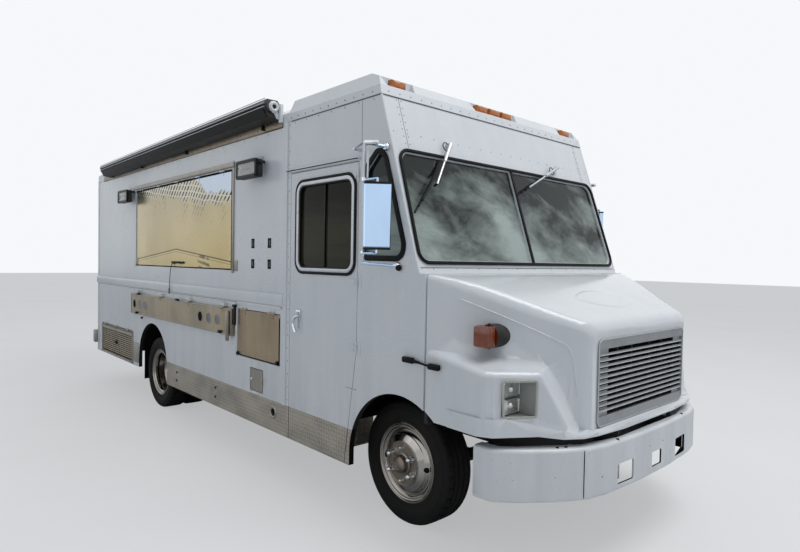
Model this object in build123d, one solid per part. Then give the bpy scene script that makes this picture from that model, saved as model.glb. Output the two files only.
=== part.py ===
from build123d import *
import os
from math import cos, hypot, radians, sin

# Food truck: a walk-in van body with a serving side, on a two-axle truck chassis. Millimetres, +X forward,
# +Y to the vehicle's left, +Z up, ground at zero. While the pieces are made, X starts at the front axle.
# The last step moves X so that it starts at the middle of the whole length.

# Whole vehicle
BODY_W = 2362
WHEELBASE = 4013
REAR_OVERHANG = 2197
JOINT_X = -1143
WALL_T = 40
SKIN = 3

# Clearances: round a moving leaf, at a fixed seat, round a pin, and how far a cut runs past a face
GAP = 6
SEAT_CLEAR = 0.3
RUN_CLEAR = 0.06
PAST = 1

# Heights
SKIRT_Z = 345
SILL_Z = 592
FRAME_TOP_Z = 730
FLOOR_Z = 800
FLOOR_T = 30
COWL_Z = 1660
SEAM_Z = 2787
BOX_CAP_H = 148
CAB_CAP_H = 213
ROOF_T = 40

# Roof cap of the cab
CAP_T = 18
CAP_LIP = 6
CAP_BAND_H = 62
CAP_TOP_X = -480
CAP_SHOULDER = (-230, 32)
CAP_BROW = (-112, 80)
NOTCH_BACK_X = -125
NOTCH_FLOOR = 4
NOTCH_FLARE = 50
NOTCH_SKIN = 5
MARKERS = [(-997, 120), (997, 120)]
MARKER_MIDDLE_W = 250
MARKER_PITCH = 149
MARKER_SIZE = (46, 120, 56)

# Wheels: six 19.5 inch rims of one kind
TYRE_R = 404
TYRE_W = 226
RIM_R = 262
RIM_W = 190
RIM_T = 9
RIM_WELL = 34
TWIN_SPACING = 252
FRONT_WHEEL_IN = 319
REAR_WHEEL_IN = 183
KINGPIN_IN = 162
DISC_HOLE_R = 70
DISC_FACE_R = 146
HAND_HOLE = (196, 18)
DRUM_R = 185
DRUM_T = 12
HUB_WALL = 2

# Chassis
RAIL_Y = 430
RAIL_H = 230
RAIL_FLANGE = 75
RAIL_T = 9
RAIL_FRONT_X = 1040
RAIL_TAIL = 80
CROSS_FRONT_X = 980
CROSS_BACK_X = -1350
CROSS_COUNT = 8
CROSS_W = 80
SPRING_W = 70
SPRING_T = 44
SPRING_EYE_R = 20
HANGER_L = 60
FRONT_SPRING = 620
FRONT_EYE_Z = 455
FRONT_SPRING_Z = 345
REAR_SPRING = 700
REAR_EYE_Z = 560
AXLE_TUBE_R = 56
DIFF_R = 168
SHAFT_R = 42
BEAM_Z = (290, 352)
BEAM_HALF = 38
PIN_R = 18
SPINDLE_R = 30
REAR_SPINDLE_R = 42
REAR_FLANGE_Y = 610

# Engine, gearbox and radiator
ENGINE = (-420, 760, 230, 480, 1130)
GEARBOX = (-1240, 190, 450, 700)
RADIATOR = (900, 960, 330, 745, 1290)
ENGINE_MOUNT = (250, 330, 520, 600)
TANK = (-2500, -1500, 455, 880, 400, 700)

# Floor, steps and wheel houses
FLOOR_BEARER_W = 80
FLOOR_BEARER_HALF = 1000
STEP_IN_Y = 800
STEP_Z = 400
STEP_T = 20
STEP_FRONT_X = -530
TUNNEL = (-430, 300, 1190)
WELL_T = 12
FRONT_ARCH = (155, 430, 480)
FRONT_WELL = (50, 430, 550)
REAR_ARCH_BACK = 35
REAR_ARCH_Z = 519
REAR_ARCH_R = 448
FRONT_WELL_Y = 490
REAR_WELL_Y = 600
FLAP_Z = 250

# Raked face of the cab: X at the cowl, and how far it moves back for each mm up
COWL_FACE_X = 322.3
RAKE = 0.3277
FACE_T = 30
HOOD_X = 373
FIREWALL_T = 30

# Cab door, with the edge that leans back below the kink, and the windows
DOOR_BACK_GAP = 43
DOOR_FRONT_BACK = 212.982
DOOR_TOP_DROP = 399
DOOR_KINK_Z = 1140
DOOR_FOOT_X = -377
DOOR_HINGE_Z = (1150, 1588)
WINDOW_Z = 1646
WINDOW_EDGE = (100, 30, 89)
WINDOW_R = 75
QUARTER_REAR = 75
QUARTER_EDGE = 76
QUARTER_Z = (1752, 1815)
QUARTER_DROP = (475, 349, 397)
QUARTER_R = 45
GLASS_T = 6
HANDLE = (-990, -920, 1180, 1355)
DRIP_T = 14
DRIP_H = 18

# Windscreen: inset of its side edges at the top and bottom, drop from the seam, height above the cowl
SCREEN_SIDE = (61, 46)
SCREEN_DROP = 375
SCREEN_RISE = 78
SCREEN_R = 70
SCREEN_POST = 34

# Serving side
SERVING_REAR = 1610
SERVING_FRONT = 927
SERVING_Z = 1628
SERVING_DROP = 262
SERVING_FRAME = (26, 8)
SHELF_REAR = 99
SHELF_FRONT = 67
SHELF_Z = (1043, 1287)
SHELF_MARK_R = 33
SHELF_MARKS = ((133, 311, 493), (667, 478, 294))
ACCESS_BACK = (803, 95)
ACCESS_Z = (885, 1291)
HATCH_BACK = (574, 359)
HATCH_Z = (620, 807)
VENT_BACK = (1996, 692)
VENT_Z = (400, 812)
VENT_RIM = 40
VENT_BARS = 12
VENT_BAR_W = 14
REAR_BAY_BACK = 477
LEAF_T = 25
SLOT_X = (-1690, -1415)
SLOT_Z = ((1656, 1720), (1826, 1892))
SLOT_W = 22
BELT_Z = (1365, 1452)
BELT_T = 12
JOINT_COVER = (37, 9)
FILLER_BACK = 188
FILLER_Z = 500
FILLER_R = 30
SKIRT_T = 20
FLOOD_X = (-1612, -4778)
FLOOD_DROP = (397, 252)
FLOOD_HALF_W = 170
FLOOD_PLATE = (-108, 96)
FLOOD_PLATE_DROP = (377, 212)

# Back of the box
REAR_DOOR_W = 610
REAR_DOOR_DROP = 307
REAR_WALL_Z = 700
REAR_HINGE_Z = (1000, 1640)
REAR_HINGE_DROP = 180
TAIL_LAMP = (1010, 52, 30)
TAIL_LAMP_Z = (900, 1060)
BAR_LAMP_DROP = 67

# Hood top as X, height of its edge, crown, and drop and run of its rounded shoulder
HOOD_ROWS = [(381, 1652, 6, 20, 30), (600, 1572, 40, 34, 60), (860, 1479, 26, 44, 70), (1130, 1385, 12, 44, 60)]
HOOD_SIDE_GAP = 11
NOSE_HALF_W = 634
NOSE_R = 45
HOOD_T = 16
HOOD_LOW_Z = 700
HOOD_BOTTOM_Z = 805
NOSE_BOTTOM_Z = 785
FENDER_SIDE_GAP = 8
FENDER_LOW = [(810, 0), (848, 40), (1120, 461)]
FENDER_TOP = [(810, 0), (848, 40), (1000, 248), (940, 403)]
FENDER_TOP_Z = 1185
FENDER_SLOPE = (0.17, 0.1)
FENDER_TOP_X = 600
FENDER_CORNER_R = 40
FENDER_EDGE_R = 35
LIP_PLAN = [(560, 2), (780, -6), (858, 34), (1082, 373), (1142, 468), (1166, 583), (1188, 843)]
LIP_TOP = [(900, 905), (1120, 812), (1188, 806)]
LIP_T = 12
HOOD_PIVOT = (1150, 782)
PIVOT_R = 8
LUG_R = 14
LUG_Y = 355
LUG_T = 24
LUG_FRONT = 10
ARM_T = 16
ARM_GAP = 2

# Grille and lamps on the hood
GRILLE_HALF_W = 570
GRILLE_Z = (815, 1312)
GRILLE_X = (1092, 1138)
GRILLE_R = 40
GRILLE_BAND = 58
GRILLE_EDGE = 16
GRILLE_MESH_HALF = 440
SLAT_COUNT = 11
SLAT_T = 12
GRILLE_BARS = (-300, -120, 120, 300)
LAMP_IN = (237, 77)
LAMP_Z = (908, 1104)
LAMP_BACK_X = 846
LAMP_CORNER_R = 14
LAMP_SKIN = 4
LAMP_SINK = 16
SIGNAL = (704, 1318)
SIGNAL_R = 68
SIGNAL_OUT = 61.1455
SIGNAL_LENS = (96, 72, 112)

# Front bumper, as X and distance in from the body side
BUMPER_PLAN = [(735, 31), (850, 39), (960, 146), (1095, 326), (1175, 476), (1205, 621), (1228, 1001)]
BUMPER_INSIDE = [(700, 106), (840, 111), (905, 181), (1110, 491), (1176, 781)]
BUMPER_Z = (456, 744)
BUMPER_T = 10
BUMPER_EDGE_R = 22
BUMPER_HOLES = [(-374, 170, 115), (374, 170, 115), (0, 130, 90)]
BUMPER_HOLE_Z = 552
BUMPER_ARM = (12, 880, 520, 640)
BUMPER_ARM_BACK = 7.124
PLATE_PITCH = 177.8
PLATE_HOLE_R = 3.5
PLATE_Z = 640
REAR_BUMPER = (92, 31, 470, 690)
REAR_BUMPER_T = 8
REAR_ARM = (12, 260, 530, 682)

# Awning along the roof rail
AWNING_X = (-5600, -1262)
AWNING_OUT = (12, 150)
AWNING_TILT = 0.55
AWNING_BRACKETS = 4
AWNING_KNOB_R = 44

# Mirrors, dash and seat
MIRROR_X = -30
MIRROR_OUT = 145
MIRROR_TUBE_R = 9
MIRROR_Z = (1715, 2455)
MIRROR_HEAD = (46, 168, 404)
MIRROR_TURN = -38
MIRROR_FOOT = (8, 20)
DASH_FRONT_X = 341
STEER_IN = 581
STEER_HUB = (-190, 1420)
STEER_FOOT = (250, 1180)
STEER_R = 225
SEAT_IN = (796, 336)

# Hinges
HINGE_R = 8
HINGE_LEAF = 42
HINGE_L = 90
HINGE_GAP = 1

# Places that follow from the sizes above
HALF_W = BODY_W / 2
INNER_W = HALF_W - WALL_T
SEATED_W = INNER_W - SEAT_CLEAR
REAR_X = -WHEELBASE
BOX_REAR_X = REAR_X - REAR_OVERHANG
BOX_ROOF_Z = SEAM_Z + BOX_CAP_H
CAB_ROOF_Z = SEAM_Z + CAB_CAP_H
FRONT_WHEEL_Y = HALF_W - FRONT_WHEEL_IN
REAR_OUTER_Y = HALF_W - REAR_WHEEL_IN
REAR_HUB_Y = REAR_OUTER_Y - TWIN_SPACING / 2
KINGPIN_Y = FRONT_WHEEL_Y - KINGPIN_IN
RAIL_REAR_X = BOX_REAR_X + RAIL_TAIL
REAR_ARCH = (REAR_X - REAR_ARCH_BACK, REAR_ARCH_Z, REAR_ARCH_R)
REAR_BAY_X = REAR_X - REAR_BAY_BACK
DOOR_REAR_X = JOINT_X + DOOR_BACK_GAP
DOOR_TOP_Z = SEAM_Z - DOOR_TOP_DROP
DOOR_FRONT_X = COWL_FACE_X - RAKE * (SEAM_Z - COWL_Z) - DOOR_FRONT_BACK
QUARTER_X = DOOR_FRONT_X + QUARTER_REAR
DOOR_WINDOW = (DOOR_REAR_X + WINDOW_EDGE[0], DOOR_FRONT_X - WINDOW_EDGE[1], WINDOW_Z, DOOR_TOP_Z - WINDOW_EDGE[2])
SCREEN_TOP = (HALF_W - SCREEN_SIDE[0], SEAM_Z - SCREEN_DROP)
SCREEN_BOTTOM = (HALF_W - SCREEN_SIDE[1], COWL_Z + SCREEN_RISE)
SERVING = (BOX_REAR_X + SERVING_REAR, JOINT_X - SERVING_FRONT, SERVING_Z, SEAM_Z - SERVING_DROP)
SHELF = (SERVING[0] - SHELF_REAR, SERVING[1] + SHELF_FRONT, *SHELF_Z)
ACCESS = (JOINT_X - ACCESS_BACK[0], JOINT_X - ACCESS_BACK[1], *ACCESS_Z)
SMALL_HATCH = (JOINT_X - HATCH_BACK[0], JOINT_X - HATCH_BACK[1], *HATCH_Z)
VENT = (REAR_X - VENT_BACK[0], REAR_X - VENT_BACK[1], *VENT_Z)
FILLER = (JOINT_X - FILLER_BACK, FILLER_Z, FILLER_R)
SHELF_FACE_Y = -HALF_W - GAP - LEAF_T
REAR_DOOR_TOP_Z = SEAM_Z - REAR_DOOR_DROP
BUMPER_REAR_X = BOX_REAR_X - REAR_BUMPER[0]
FENDER_SIDE = HALF_W - FENDER_SIDE_GAP
NOSE_X = HOOD_ROWS[-1][0]
FLOOD_Z = tuple(SEAM_Z - drop for drop in FLOOD_DROP)
FLOOD_PLATE_Z = tuple(SEAM_Z - drop for drop in FLOOD_PLATE_DROP)
BAR_LAMP_Z = SEAM_Z - BAR_LAMP_DROP
LAMP_Y = tuple(FENDER_SIDE - inset for inset in LAMP_IN)
SEAT_Y = tuple(INNER_W - inset for inset in SEAT_IN)
STEER_Y = INNER_W - STEER_IN
UP, BACK, FORE = (0, 0, 1), (-1, 0, 0), (1, 0, 0)
nodes = {}


def block(x0, x1, y0, y1, z0, z1):
    """Block between two opposite corners."""
    size = Box(abs(x1 - x0), abs(y1 - y0), abs(z1 - z0))
    return Pos((x0 + x1) / 2, (y0 + y1) / 2, (z0 + z1) / 2) * size


def outline_face(points, radius=0, inset=0):
    """Flat face inside a closed outline of 3-D points, drawn in by inset."""
    edge = FilletPolyline(*points, radius=radius, close=True) if radius else Polyline(*points, close=True)
    face = make_face(edge)
    return offset(face, amount=-inset) if inset else face


def slab(outline, axis, low, high, radius=0, inset=0):
    """Plate with the given outline, from low to high along axis X, Y or Z."""
    spots = {"X": lambda a, b: (low, a, b), "Y": lambda a, b: (a, low, b), "Z": lambda a, b: (a, b, low)}
    ways = {"X": (1, 0, 0), "Y": (0, 1, 0), "Z": (0, 0, 1)}
    face = outline_face([spots[axis](*p) for p in outline], radius, inset)
    return extrude(face, amount=high - low, dir=ways[axis])


def corners(low_a, high_a, low_b, high_b, inset=0):
    """Corners of a rectangle, drawn in on every side by inset."""
    a0, a1 = low_a + inset, high_a - inset
    b0, b1 = low_b + inset, high_b - inset
    return [(a0, b0), (a1, b0), (a1, b1), (a0, b1)]


def rod(start, end, radius):
    """Round bar between two points."""
    way = Vector(*end) - Vector(*start)
    bar = Cylinder(radius, way.length, align=(Align.CENTER, Align.CENTER, Align.MIN))
    return Plane(origin=start, z_dir=way).location * bar


def disc_y(x, z, radius, y0, y1):
    """Cylinder along Y."""
    return rod((x, y0, z), (x, y1, z), radius)


def flip(shape):
    """The same piece on the other side of the vehicle."""
    return mirror(shape, about=Plane.XZ)


def both(shape):
    """A piece and its mirror image."""
    return [shape, flip(shape)]


def fuse(first, others):
    """One solid from a piece and what is fixed to it."""
    for other in others:
        first = first + other
    return first


def turned(section):
    """Solid turned about the Y axis from (radius, y) points."""
    face = make_face(Polyline(*[(r, y, 0) for r, y in section], close=True))
    return revolve(face, axis=Axis.Y)


def spread(first, last, count):
    """Evenly spaced places."""
    return [first + (last - first) * i / (count - 1) for i in range(count)]


def face_x(z, inset=0):
    """X of the raked face at height z, drawn in square to the face."""
    return COWL_FACE_X - RAKE * (z - COWL_Z) - inset * hypot(1, RAKE)


def arch_cut(arch, y0, y1, grow=0):
    """Round-topped wheel opening, open downwards."""
    x, z, r = arch
    return disc_y(x, z, r + grow, y0, y1) + block(x - r - grow, x + r + grow, y0, y1, 0, z)


def hinge(origin, x_dir, z_dir):
    """Butt hinge: fixed leaf towards x_dir, moving leaf away from it, pin along z_dir."""
    third = HINGE_L / 3
    moving = Pos(0, -HINGE_R, 0) * Cylinder(HINGE_R, third - 2 * HINGE_GAP)
    moving += block(-HINGE_LEAF, 0, -SKIN, 0, -third / 2 + HINGE_GAP, third / 2 - HINGE_GAP)
    fixed = block(HINGE_LEAF / 2, HINGE_LEAF, -SKIN, 0, -HINGE_L / 2, HINGE_L / 2)
    for side in (-1, 1):
        low = side * third - third / 2
        fixed += Pos(0, -HINGE_R, side * third) * Cylinder(HINGE_R, third)
        fixed += block(0, HINGE_LEAF, -SKIN, 0, low, low + third)
    place = Plane(origin=origin, x_dir=x_dir, z_dir=z_dir).location
    return place * moving, place * fixed


def hinges(points, x_dir, z_dir):
    """Several hinges on one pin line: the moving halves, then the fixed halves."""
    pairs = [hinge(p, x_dir, z_dir) for p in points]
    return [pair[0] for pair in pairs], [pair[1] for pair in pairs]


# Hinge lines on the right side, as points on the outer face
door_hinges = [(DOOR_FRONT_X, -HALF_W, z) for z in (*DOOR_HINGE_Z, DOOR_TOP_Z - HINGE_L)]
serving_hinges = [(x, -HALF_W, SERVING[3]) for x in spread(SERVING[0] + 200, SERVING[1] - 200, 5)]
shelf_hinges = [(x, SHELF_FACE_Y, SHELF[3]) for x in spread(SHELF[0] + 200, SHELF[1] - 200, 4)]
access_hinges = [(x, -HALF_W, ACCESS[3]) for x in spread(ACCESS[0] + 120, ACCESS[1] - 120, 2)]
vent_hinges = [(x, -HALF_W, VENT[3]) for x in spread(VENT[0] + 200, VENT[1] - 200, 3)]
hatch_hinges = [(SMALL_HATCH[1], -HALF_W, (SMALL_HATCH[2] + SMALL_HATCH[3]) / 2)]
rear_hinges = [(BOX_REAR_X, -REAR_DOOR_W, z) for z in (*REAR_HINGE_Z, REAR_DOOR_TOP_Z - REAR_HINGE_DROP)]


def chassis_frame():
    """Two channel rails with cross members, spring hangers and the lugs of the hood pivot."""
    z0, z1 = FRAME_TOP_Z - RAIL_H, FRAME_TOP_Z
    rail = block(RAIL_REAR_X, RAIL_FRONT_X, -RAIL_Y, -RAIL_Y + RAIL_FLANGE, z0, z1)
    rail -= block(RAIL_REAR_X, RAIL_FRONT_X, -RAIL_Y + RAIL_T, -RAIL_Y + RAIL_FLANGE, z0 + RAIL_T, z1 - RAIL_T)
    frame = rail + flip(rail)
    for x in [CROSS_FRONT_X] + spread(CROSS_BACK_X, RAIL_REAR_X + CROSS_W, CROSS_COUNT):
        frame += block(x - CROSS_W / 2, x + CROSS_W / 2, -RAIL_Y + RAIL_T, RAIL_Y - RAIL_T, (z0 + z1) / 2, z1 - RAIL_T)
    hangers = [(x, -RAIL_Y, FRONT_EYE_Z, z0) for x in (-FRONT_SPRING, FRONT_SPRING)]
    hangers += [(REAR_X + x, -RAIL_Y - SPRING_W, REAR_EYE_Z, z1 - SPRING_W) for x in (-REAR_SPRING, REAR_SPRING)]
    for x, y, eye_z, top in hangers:
        low = eye_z + SPRING_EYE_R + SEAT_CLEAR
        frame = fuse(frame, both(block(x - HANGER_L / 2, x + HANGER_L / 2, y, y + SPRING_W, low, top)))
    px, pz = HOOD_PIVOT
    for side in (-1, 1):
        y0, y1 = side * (LUG_Y - LUG_T / 2), side * (LUG_Y + LUG_T / 2)
        frame += block(CROSS_FRONT_X, px, y0, y1, z0 + 2 * RAIL_T, z1) + disc_y(px, pz, LUG_R, y0, y1)
        frame += block(px - LUG_R, px + LUG_FRONT, y0, y1, z1 - CROSS_W, pz)
        frame -= disc_y(px, pz, PIVOT_R + RUN_CLEAR, y0 - side, y1 + side)
    return frame


def leaf_spring(span, mid_z, end_z, y0, y1):
    """Leaf pack as one curved bar with an eye at each end."""
    r = SPRING_EYE_R
    low = ThreePointArc((-span, y0, end_z - r), (0, y0, mid_z), (span, y0, end_z - r))
    top = ThreePointArc((span, y0, end_z), (0, y0, mid_z + SPRING_T), (-span, y0, end_z))
    edge = [low, Line(low @ 1, top @ 0), top, Line(top @ 1, low @ 0)]
    bar = extrude(make_face(edge), amount=y1 - y0, dir=(0, 1, 0))
    return fuse(bar, [disc_y(x, end_z, r, y0, y1) for x in (-span, span)])


def front_axle():
    """Dropped beam with king pin eyes, on two leaf springs."""
    z0, z1 = BEAM_Z
    inner, outer = KINGPIN_Y - 200, KINGPIN_Y - 40
    beam = block(-BEAM_HALF, BEAM_HALF, -inner - 20, inner + 20, z0, z1)
    for side in (-1, 1):
        rise = [(side * inner, z0), (side * outer, z0 + 82), (side * outer, TYRE_R + 36), (side * (inner - 20), z1)]
        beam += slab(rise, "X", -BEAM_HALF + 2, BEAM_HALF - 2)
        beam += Pos(0, side * KINGPIN_Y, TYRE_R) * Cylinder(BEAM_HALF, 98)
        beam += block(-30, 30, side * (outer - 20), side * (KINGPIN_Y - 20), z0 + 82, TYRE_R + 36)
    beam = fuse(beam, both(leaf_spring(FRONT_SPRING, FRONT_SPRING_Z, FRONT_EYE_Z, -RAIL_Y, -RAIL_Y + SPRING_W)))
    for side in (-1, 1):
        beam -= Pos(0, side * KINGPIN_Y, TYRE_R) * Cylinder(PIN_R + RUN_CLEAR, 200)
    return beam


def rear_axle():
    """Axle tube with differential, spindles, two leaf springs and the propeller shaft."""
    axle = disc_y(REAR_X, TYRE_R, AXLE_TUBE_R, -REAR_FLANGE_Y, REAR_FLANGE_Y)
    axle += Pos(REAR_X, 0, TYRE_R) * Sphere(DIFF_R)
    for side in (-1, 1):
        axle += disc_y(REAR_X, TYRE_R, REAR_SPINDLE_R, side * REAR_FLANGE_Y, side * (REAR_HUB_Y + 50))
    springs = both(leaf_spring(REAR_SPRING, TYRE_R + 50, REAR_EYE_Z, -RAIL_Y - SPRING_W, -RAIL_Y))
    axle = fuse(axle, [Pos(REAR_X, 0, 0) * spring for spring in springs])
    return axle + rod((REAR_X + 120, 0, TYRE_R + 20), (GEARBOX[0] - 3, 0, 560), SHAFT_R)


def engine_block():
    """Engine with its mounts and gearbox, and the radiator, as plain blocks."""
    x0, x1, half, z0, z1 = ENGINE
    engine = block(x0, x1, -half, half, z0, z1)
    gear_x, gear_half, gear_z0, gear_z1 = GEARBOX
    engine += block(gear_x, x0, -gear_half, gear_half, gear_z0, gear_z1)
    rad_x0, rad_x1, rad_half, rad_z0, rad_z1 = RADIATOR
    engine += block(rad_x0, rad_x1, -rad_half, rad_half, rad_z0, rad_z1)
    engine += block(x1, rad_x0, -half / 2, half / 2, rad_z0 + 150, rad_z0 + 250)
    mount_x0, mount_x1, mount_z0, mount_z1 = ENGINE_MOUNT
    reach = RAIL_Y - RAIL_T - SEAT_CLEAR
    return engine + block(mount_x0, mount_x1, -reach, reach, mount_z0, mount_z1)


def fuel_tank():
    """Tank hung outside the left rail, with its straps."""
    x0, x1, y0, y1, z0, z1 = TANK
    tank = slab(corners(y0, y1, z0, z1), "X", x0, x1, 60)
    for x in (x0 + 200, x1 - 200):
        tank += block(x - 25, x + 25, RAIL_Y, y0 + 60, z1 - 140, z1 - 60)
    return tank


def wheel_house(arch, inner_y, y1):
    """Liner over a wheel, open below and outwards."""
    shell = arch_cut(arch, inner_y, y1, WELL_T) - arch_cut(arch, inner_y + WELL_T, y1 + PAST)
    return shell & block(BOX_REAR_X, HOOD_X - FIREWALL_T - PAST, -HALF_W, HALF_W, SILL_Z, COWL_Z)


def wheel_wells():
    """Four wheel liners and the rear mud flaps."""
    x, z, r = REAR_ARCH
    rear = wheel_house(REAR_ARCH, REAR_WELL_Y, SEATED_W)
    flap = block(x - r - WELL_T, x - r, REAR_WELL_Y + 10, INNER_W - 30, FLAP_Z, SILL_Z)
    return both(rear + flap) + both(wheel_house(FRONT_WELL, FRONT_WELL_Y, SEATED_W))


def floor():
    """Floor on bearers, with step wells at the cab doors and an engine tunnel."""
    front_x = HOOD_X - FIREWALL_T
    low_z = FLOOR_Z - FLOOR_T
    plate = block(BOX_REAR_X + WALL_T, front_x, -INNER_W, INNER_W, low_z, FLOOR_Z)
    for x in (REAR_X - 1787, REAR_X - 1087, REAR_X + 813, -2400, -1600, -700):
        plate += block(x - FLOOR_BEARER_W / 2, x + FLOOR_BEARER_W / 2, -FLOOR_BEARER_HALF, FLOOR_BEARER_HALF,
                       FRAME_TOP_Z, low_z)
    for side in (-1, 1):
        for (x, z, r), y in ((REAR_ARCH, REAR_WELL_Y), (FRONT_WELL, FRONT_WELL_Y)):
            grow = r + WELL_T + PAST
            plate -= block(x - grow, min(x + grow, front_x + 10), side * (y - PAST), side * (INNER_W + PAST),
                           FRAME_TOP_Z - PAST, FLOOR_Z + PAST)
        y0, y1 = sorted((side * STEP_IN_Y, side * SEATED_W))
        well = block(DOOR_REAR_X, STEP_FRONT_X, y0, y1, STEP_Z - STEP_T, FLOOR_Z - PAST)
        in_y, out_y = side * (STEP_IN_Y + STEP_T), side * (INNER_W + PAST)
        inner = block(DOOR_REAR_X + STEP_T, STEP_FRONT_X - STEP_T, in_y, out_y, STEP_Z, FLOOR_Z + PAST)
        plate = plate + well - inner
    tunnel_x, half, top = TUNNEL
    plate -= block(tunnel_x, front_x + PAST, -half, half, low_z - PAST, FLOOR_Z + PAST)
    tunnel = block(tunnel_x - STEP_T, front_x, -half - STEP_T, half + STEP_T, low_z, top)
    return plate + tunnel - block(tunnel_x, front_x + PAST, -half, half, low_z - PAST, top - STEP_T)


def side_panel(y0, y1):
    """Plain outline of one side of the box, with its wheel arch."""
    edge = [(JOINT_X, SILL_Z), (JOINT_X, SEAM_Z), (BOX_REAR_X, SEAM_Z), (BOX_REAR_X, VENT[2]),
            (REAR_BAY_X, VENT[2]), (REAR_BAY_X, SILL_Z)]
    return slab(edge, "Y", y0, y1) - arch_cut(REAR_ARCH, y0 - PAST, y1 + PAST)


def belt(y, way):
    """Rail along the box side, and the cover of the joint behind the cab."""
    cover_w, cover_t = JOINT_COVER
    rail = block(BOX_REAR_X, JOINT_X - cover_w, y, y + way * BELT_T, *BELT_Z)
    return rail + block(JOINT_X - cover_w, JOINT_X, y, y + way * cover_t, SILL_Z, SEAM_Z)


def serving_frame():
    """Raised frame at the sides of the serving opening and the drip rail over it."""
    width, depth = SERVING_FRAME
    x0, x1, z0, z1 = SERVING
    edge = x0 - GAP - width
    strips = [block(x, x + width, -HALF_W - depth, -HALF_W, z0, z1 + HINGE_LEAF) for x in (edge, x1 + GAP)]
    low = z1 + HINGE_LEAF + GAP / 2
    return strips + [block(edge, x1 + GAP + width, -HALF_W - DRIP_T, -HALF_W, low, low + DRIP_H)]


def side_wall_right():
    """Serving side of the box."""
    wall = side_panel(-HALF_W, -INNER_W) + belt(-HALF_W, -1)
    for hole in (SERVING, ACCESS, SMALL_HATCH, VENT):
        wall -= slab(corners(*hole, inset=-GAP / 2), "Y", -HALF_W - PAST, -INNER_W + PAST)
    for x in SLOT_X:
        for z0, z1 in SLOT_Z:
            wall -= block(x - SLOT_W / 2, x + SLOT_W / 2, -HALF_W - PAST, -HALF_W + BELT_T, z0, z1)
    fixed = serving_frame()
    for points, x_dir, z_dir in ((serving_hinges, UP, BACK), (access_hinges, UP, BACK), (vent_hinges, UP, BACK),
                                 (hatch_hinges, FORE, UP), (shelf_hinges, UP, BACK)):
        fixed += hinges(points, x_dir, z_dir)[1]
    fixed += [block(x - 50, x + 50, y, -HALF_W, z + GAP, z + HINGE_LEAF) for x, y, z in shelf_hinges]
    return fuse(wall, fixed)


def side_wall_left():
    """Plain side of the box."""
    return side_panel(INNER_W, HALF_W) + belt(HALF_W, 1)


def rear_wall():
    """Back of the box, with the opening of the two rear doors."""
    wall = block(BOX_REAR_X, BOX_REAR_X + WALL_T, -SEATED_W, SEATED_W, REAR_WALL_Z, SEAM_Z)
    hole = REAR_DOOR_W + GAP
    wall -= block(BOX_REAR_X - PAST, BOX_REAR_X + WALL_T + PAST, -hole, hole, FLOOR_Z + GAP, REAR_DOOR_TOP_Z)
    right = hinges(rear_hinges, (0, -1, 0), UP)[1]
    return fuse(wall, right + [flip(half) for half in right])


def box_roof():
    """Crowned roof of the box with rounded side rails."""
    t = ROOF_T
    rail, shoulder, fall, crown = 70, 60, 30, 300

    def outline(edge, low, rail_z, top, shoulder_in):
        half = [(edge, low), (edge, rail_z), (edge - shoulder_in, top - fall), (edge - crown, top)]
        return half + [(-y, z) for y, z in reversed(half)]
    shell = slab(outline(HALF_W, SEAM_Z, SEAM_Z + rail, BOX_ROOF_Z, shoulder), "X", BOX_REAR_X, JOINT_X)
    inner = outline(HALF_W - t, SEAM_Z - PAST, SEAM_Z + rail - t / 3, BOX_ROOF_Z - t, shoulder - t / 2)
    return shell - slab(inner, "X", BOX_REAR_X + t, JOINT_X + PAST)


def cab_cap(inset):
    """Outer form of the cab roof cap, drawn in by inset."""
    low, top = SEAM_Z, CAB_ROOF_Z - inset
    band = low + CAP_BAND_H
    rear = JOINT_X - (PAST if inset else 0)
    side = [(rear, low - inset), (rear, top), (CAP_TOP_X, top), (CAP_SHOULDER[0], top - CAP_SHOULDER[1]),
            (CAP_BROW[0], top - CAP_BROW[1]), (face_x(band, inset) + CAP_LIP, band),
            (face_x(low - inset, inset) + CAP_LIP, low - inset)]
    w = HALF_W + CAP_LIP - inset
    half = [(w, low - inset), (w - 8, band), (w - 58, top - 42), (w - 196, top - 12), (w - 426, top)]
    across = half + [(-y, z) for y, z in reversed(half)]
    return slab(side, "Y", -w - PAST, w + PAST) & slab(across, "X", rear, DASH_FRONT_X)


def marker_notches(grow=0):
    """Recesses of the marker lamps in the brow of the cap."""
    low = SEAM_Z + CAP_BAND_H + NOTCH_FLOOR - grow
    high = CAB_ROOF_Z
    notches = []
    for y, half in MARKERS + [(0, MARKER_MIDDLE_W)]:
        foot, head = half + grow, half + NOTCH_FLARE + grow
        shape = [(y - foot, low), (y + foot, low), (y + head, high), (y - head, high)]
        notches.append(slab(shape, "X", NOTCH_BACK_X - grow, 0))
    return notches


def cab_roof():
    """Moulded cap over the cab, hollow below, with the recesses of the marker lamps."""
    outer = cab_cap(0)
    back = block(JOINT_X - 2 * PAST, JOINT_X + CAP_T, -HALF_W, HALF_W, BOX_ROOF_Z - ROOF_T, CAB_ROOF_Z)
    cap = fuse(outer - (cab_cap(CAP_T) - back), [outer & notch for notch in marker_notches(NOTCH_SKIN)])
    for notch in marker_notches():
        cap -= notch
    return cap


def raked_slab(outline, front, back, radius=0, inset=0):
    """Plate between two depths behind the raked face, outline as y and z on the face."""
    way = Vector(-1, 0, -RAKE).normalized()
    spots = [tuple(Vector(face_x(z), y, z) + way * front) for y, z in outline]
    return extrude(outline_face(spots, radius, inset), amount=back - front, dir=tuple(way))


def screen_outline():
    """Whole windscreen opening, as y and z."""
    (wt, zt), (wb, zb) = SCREEN_TOP, SCREEN_BOTTOM
    return [(-wt, zt), (wt, zt), (wb, zb), (-wb, zb)]


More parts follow.
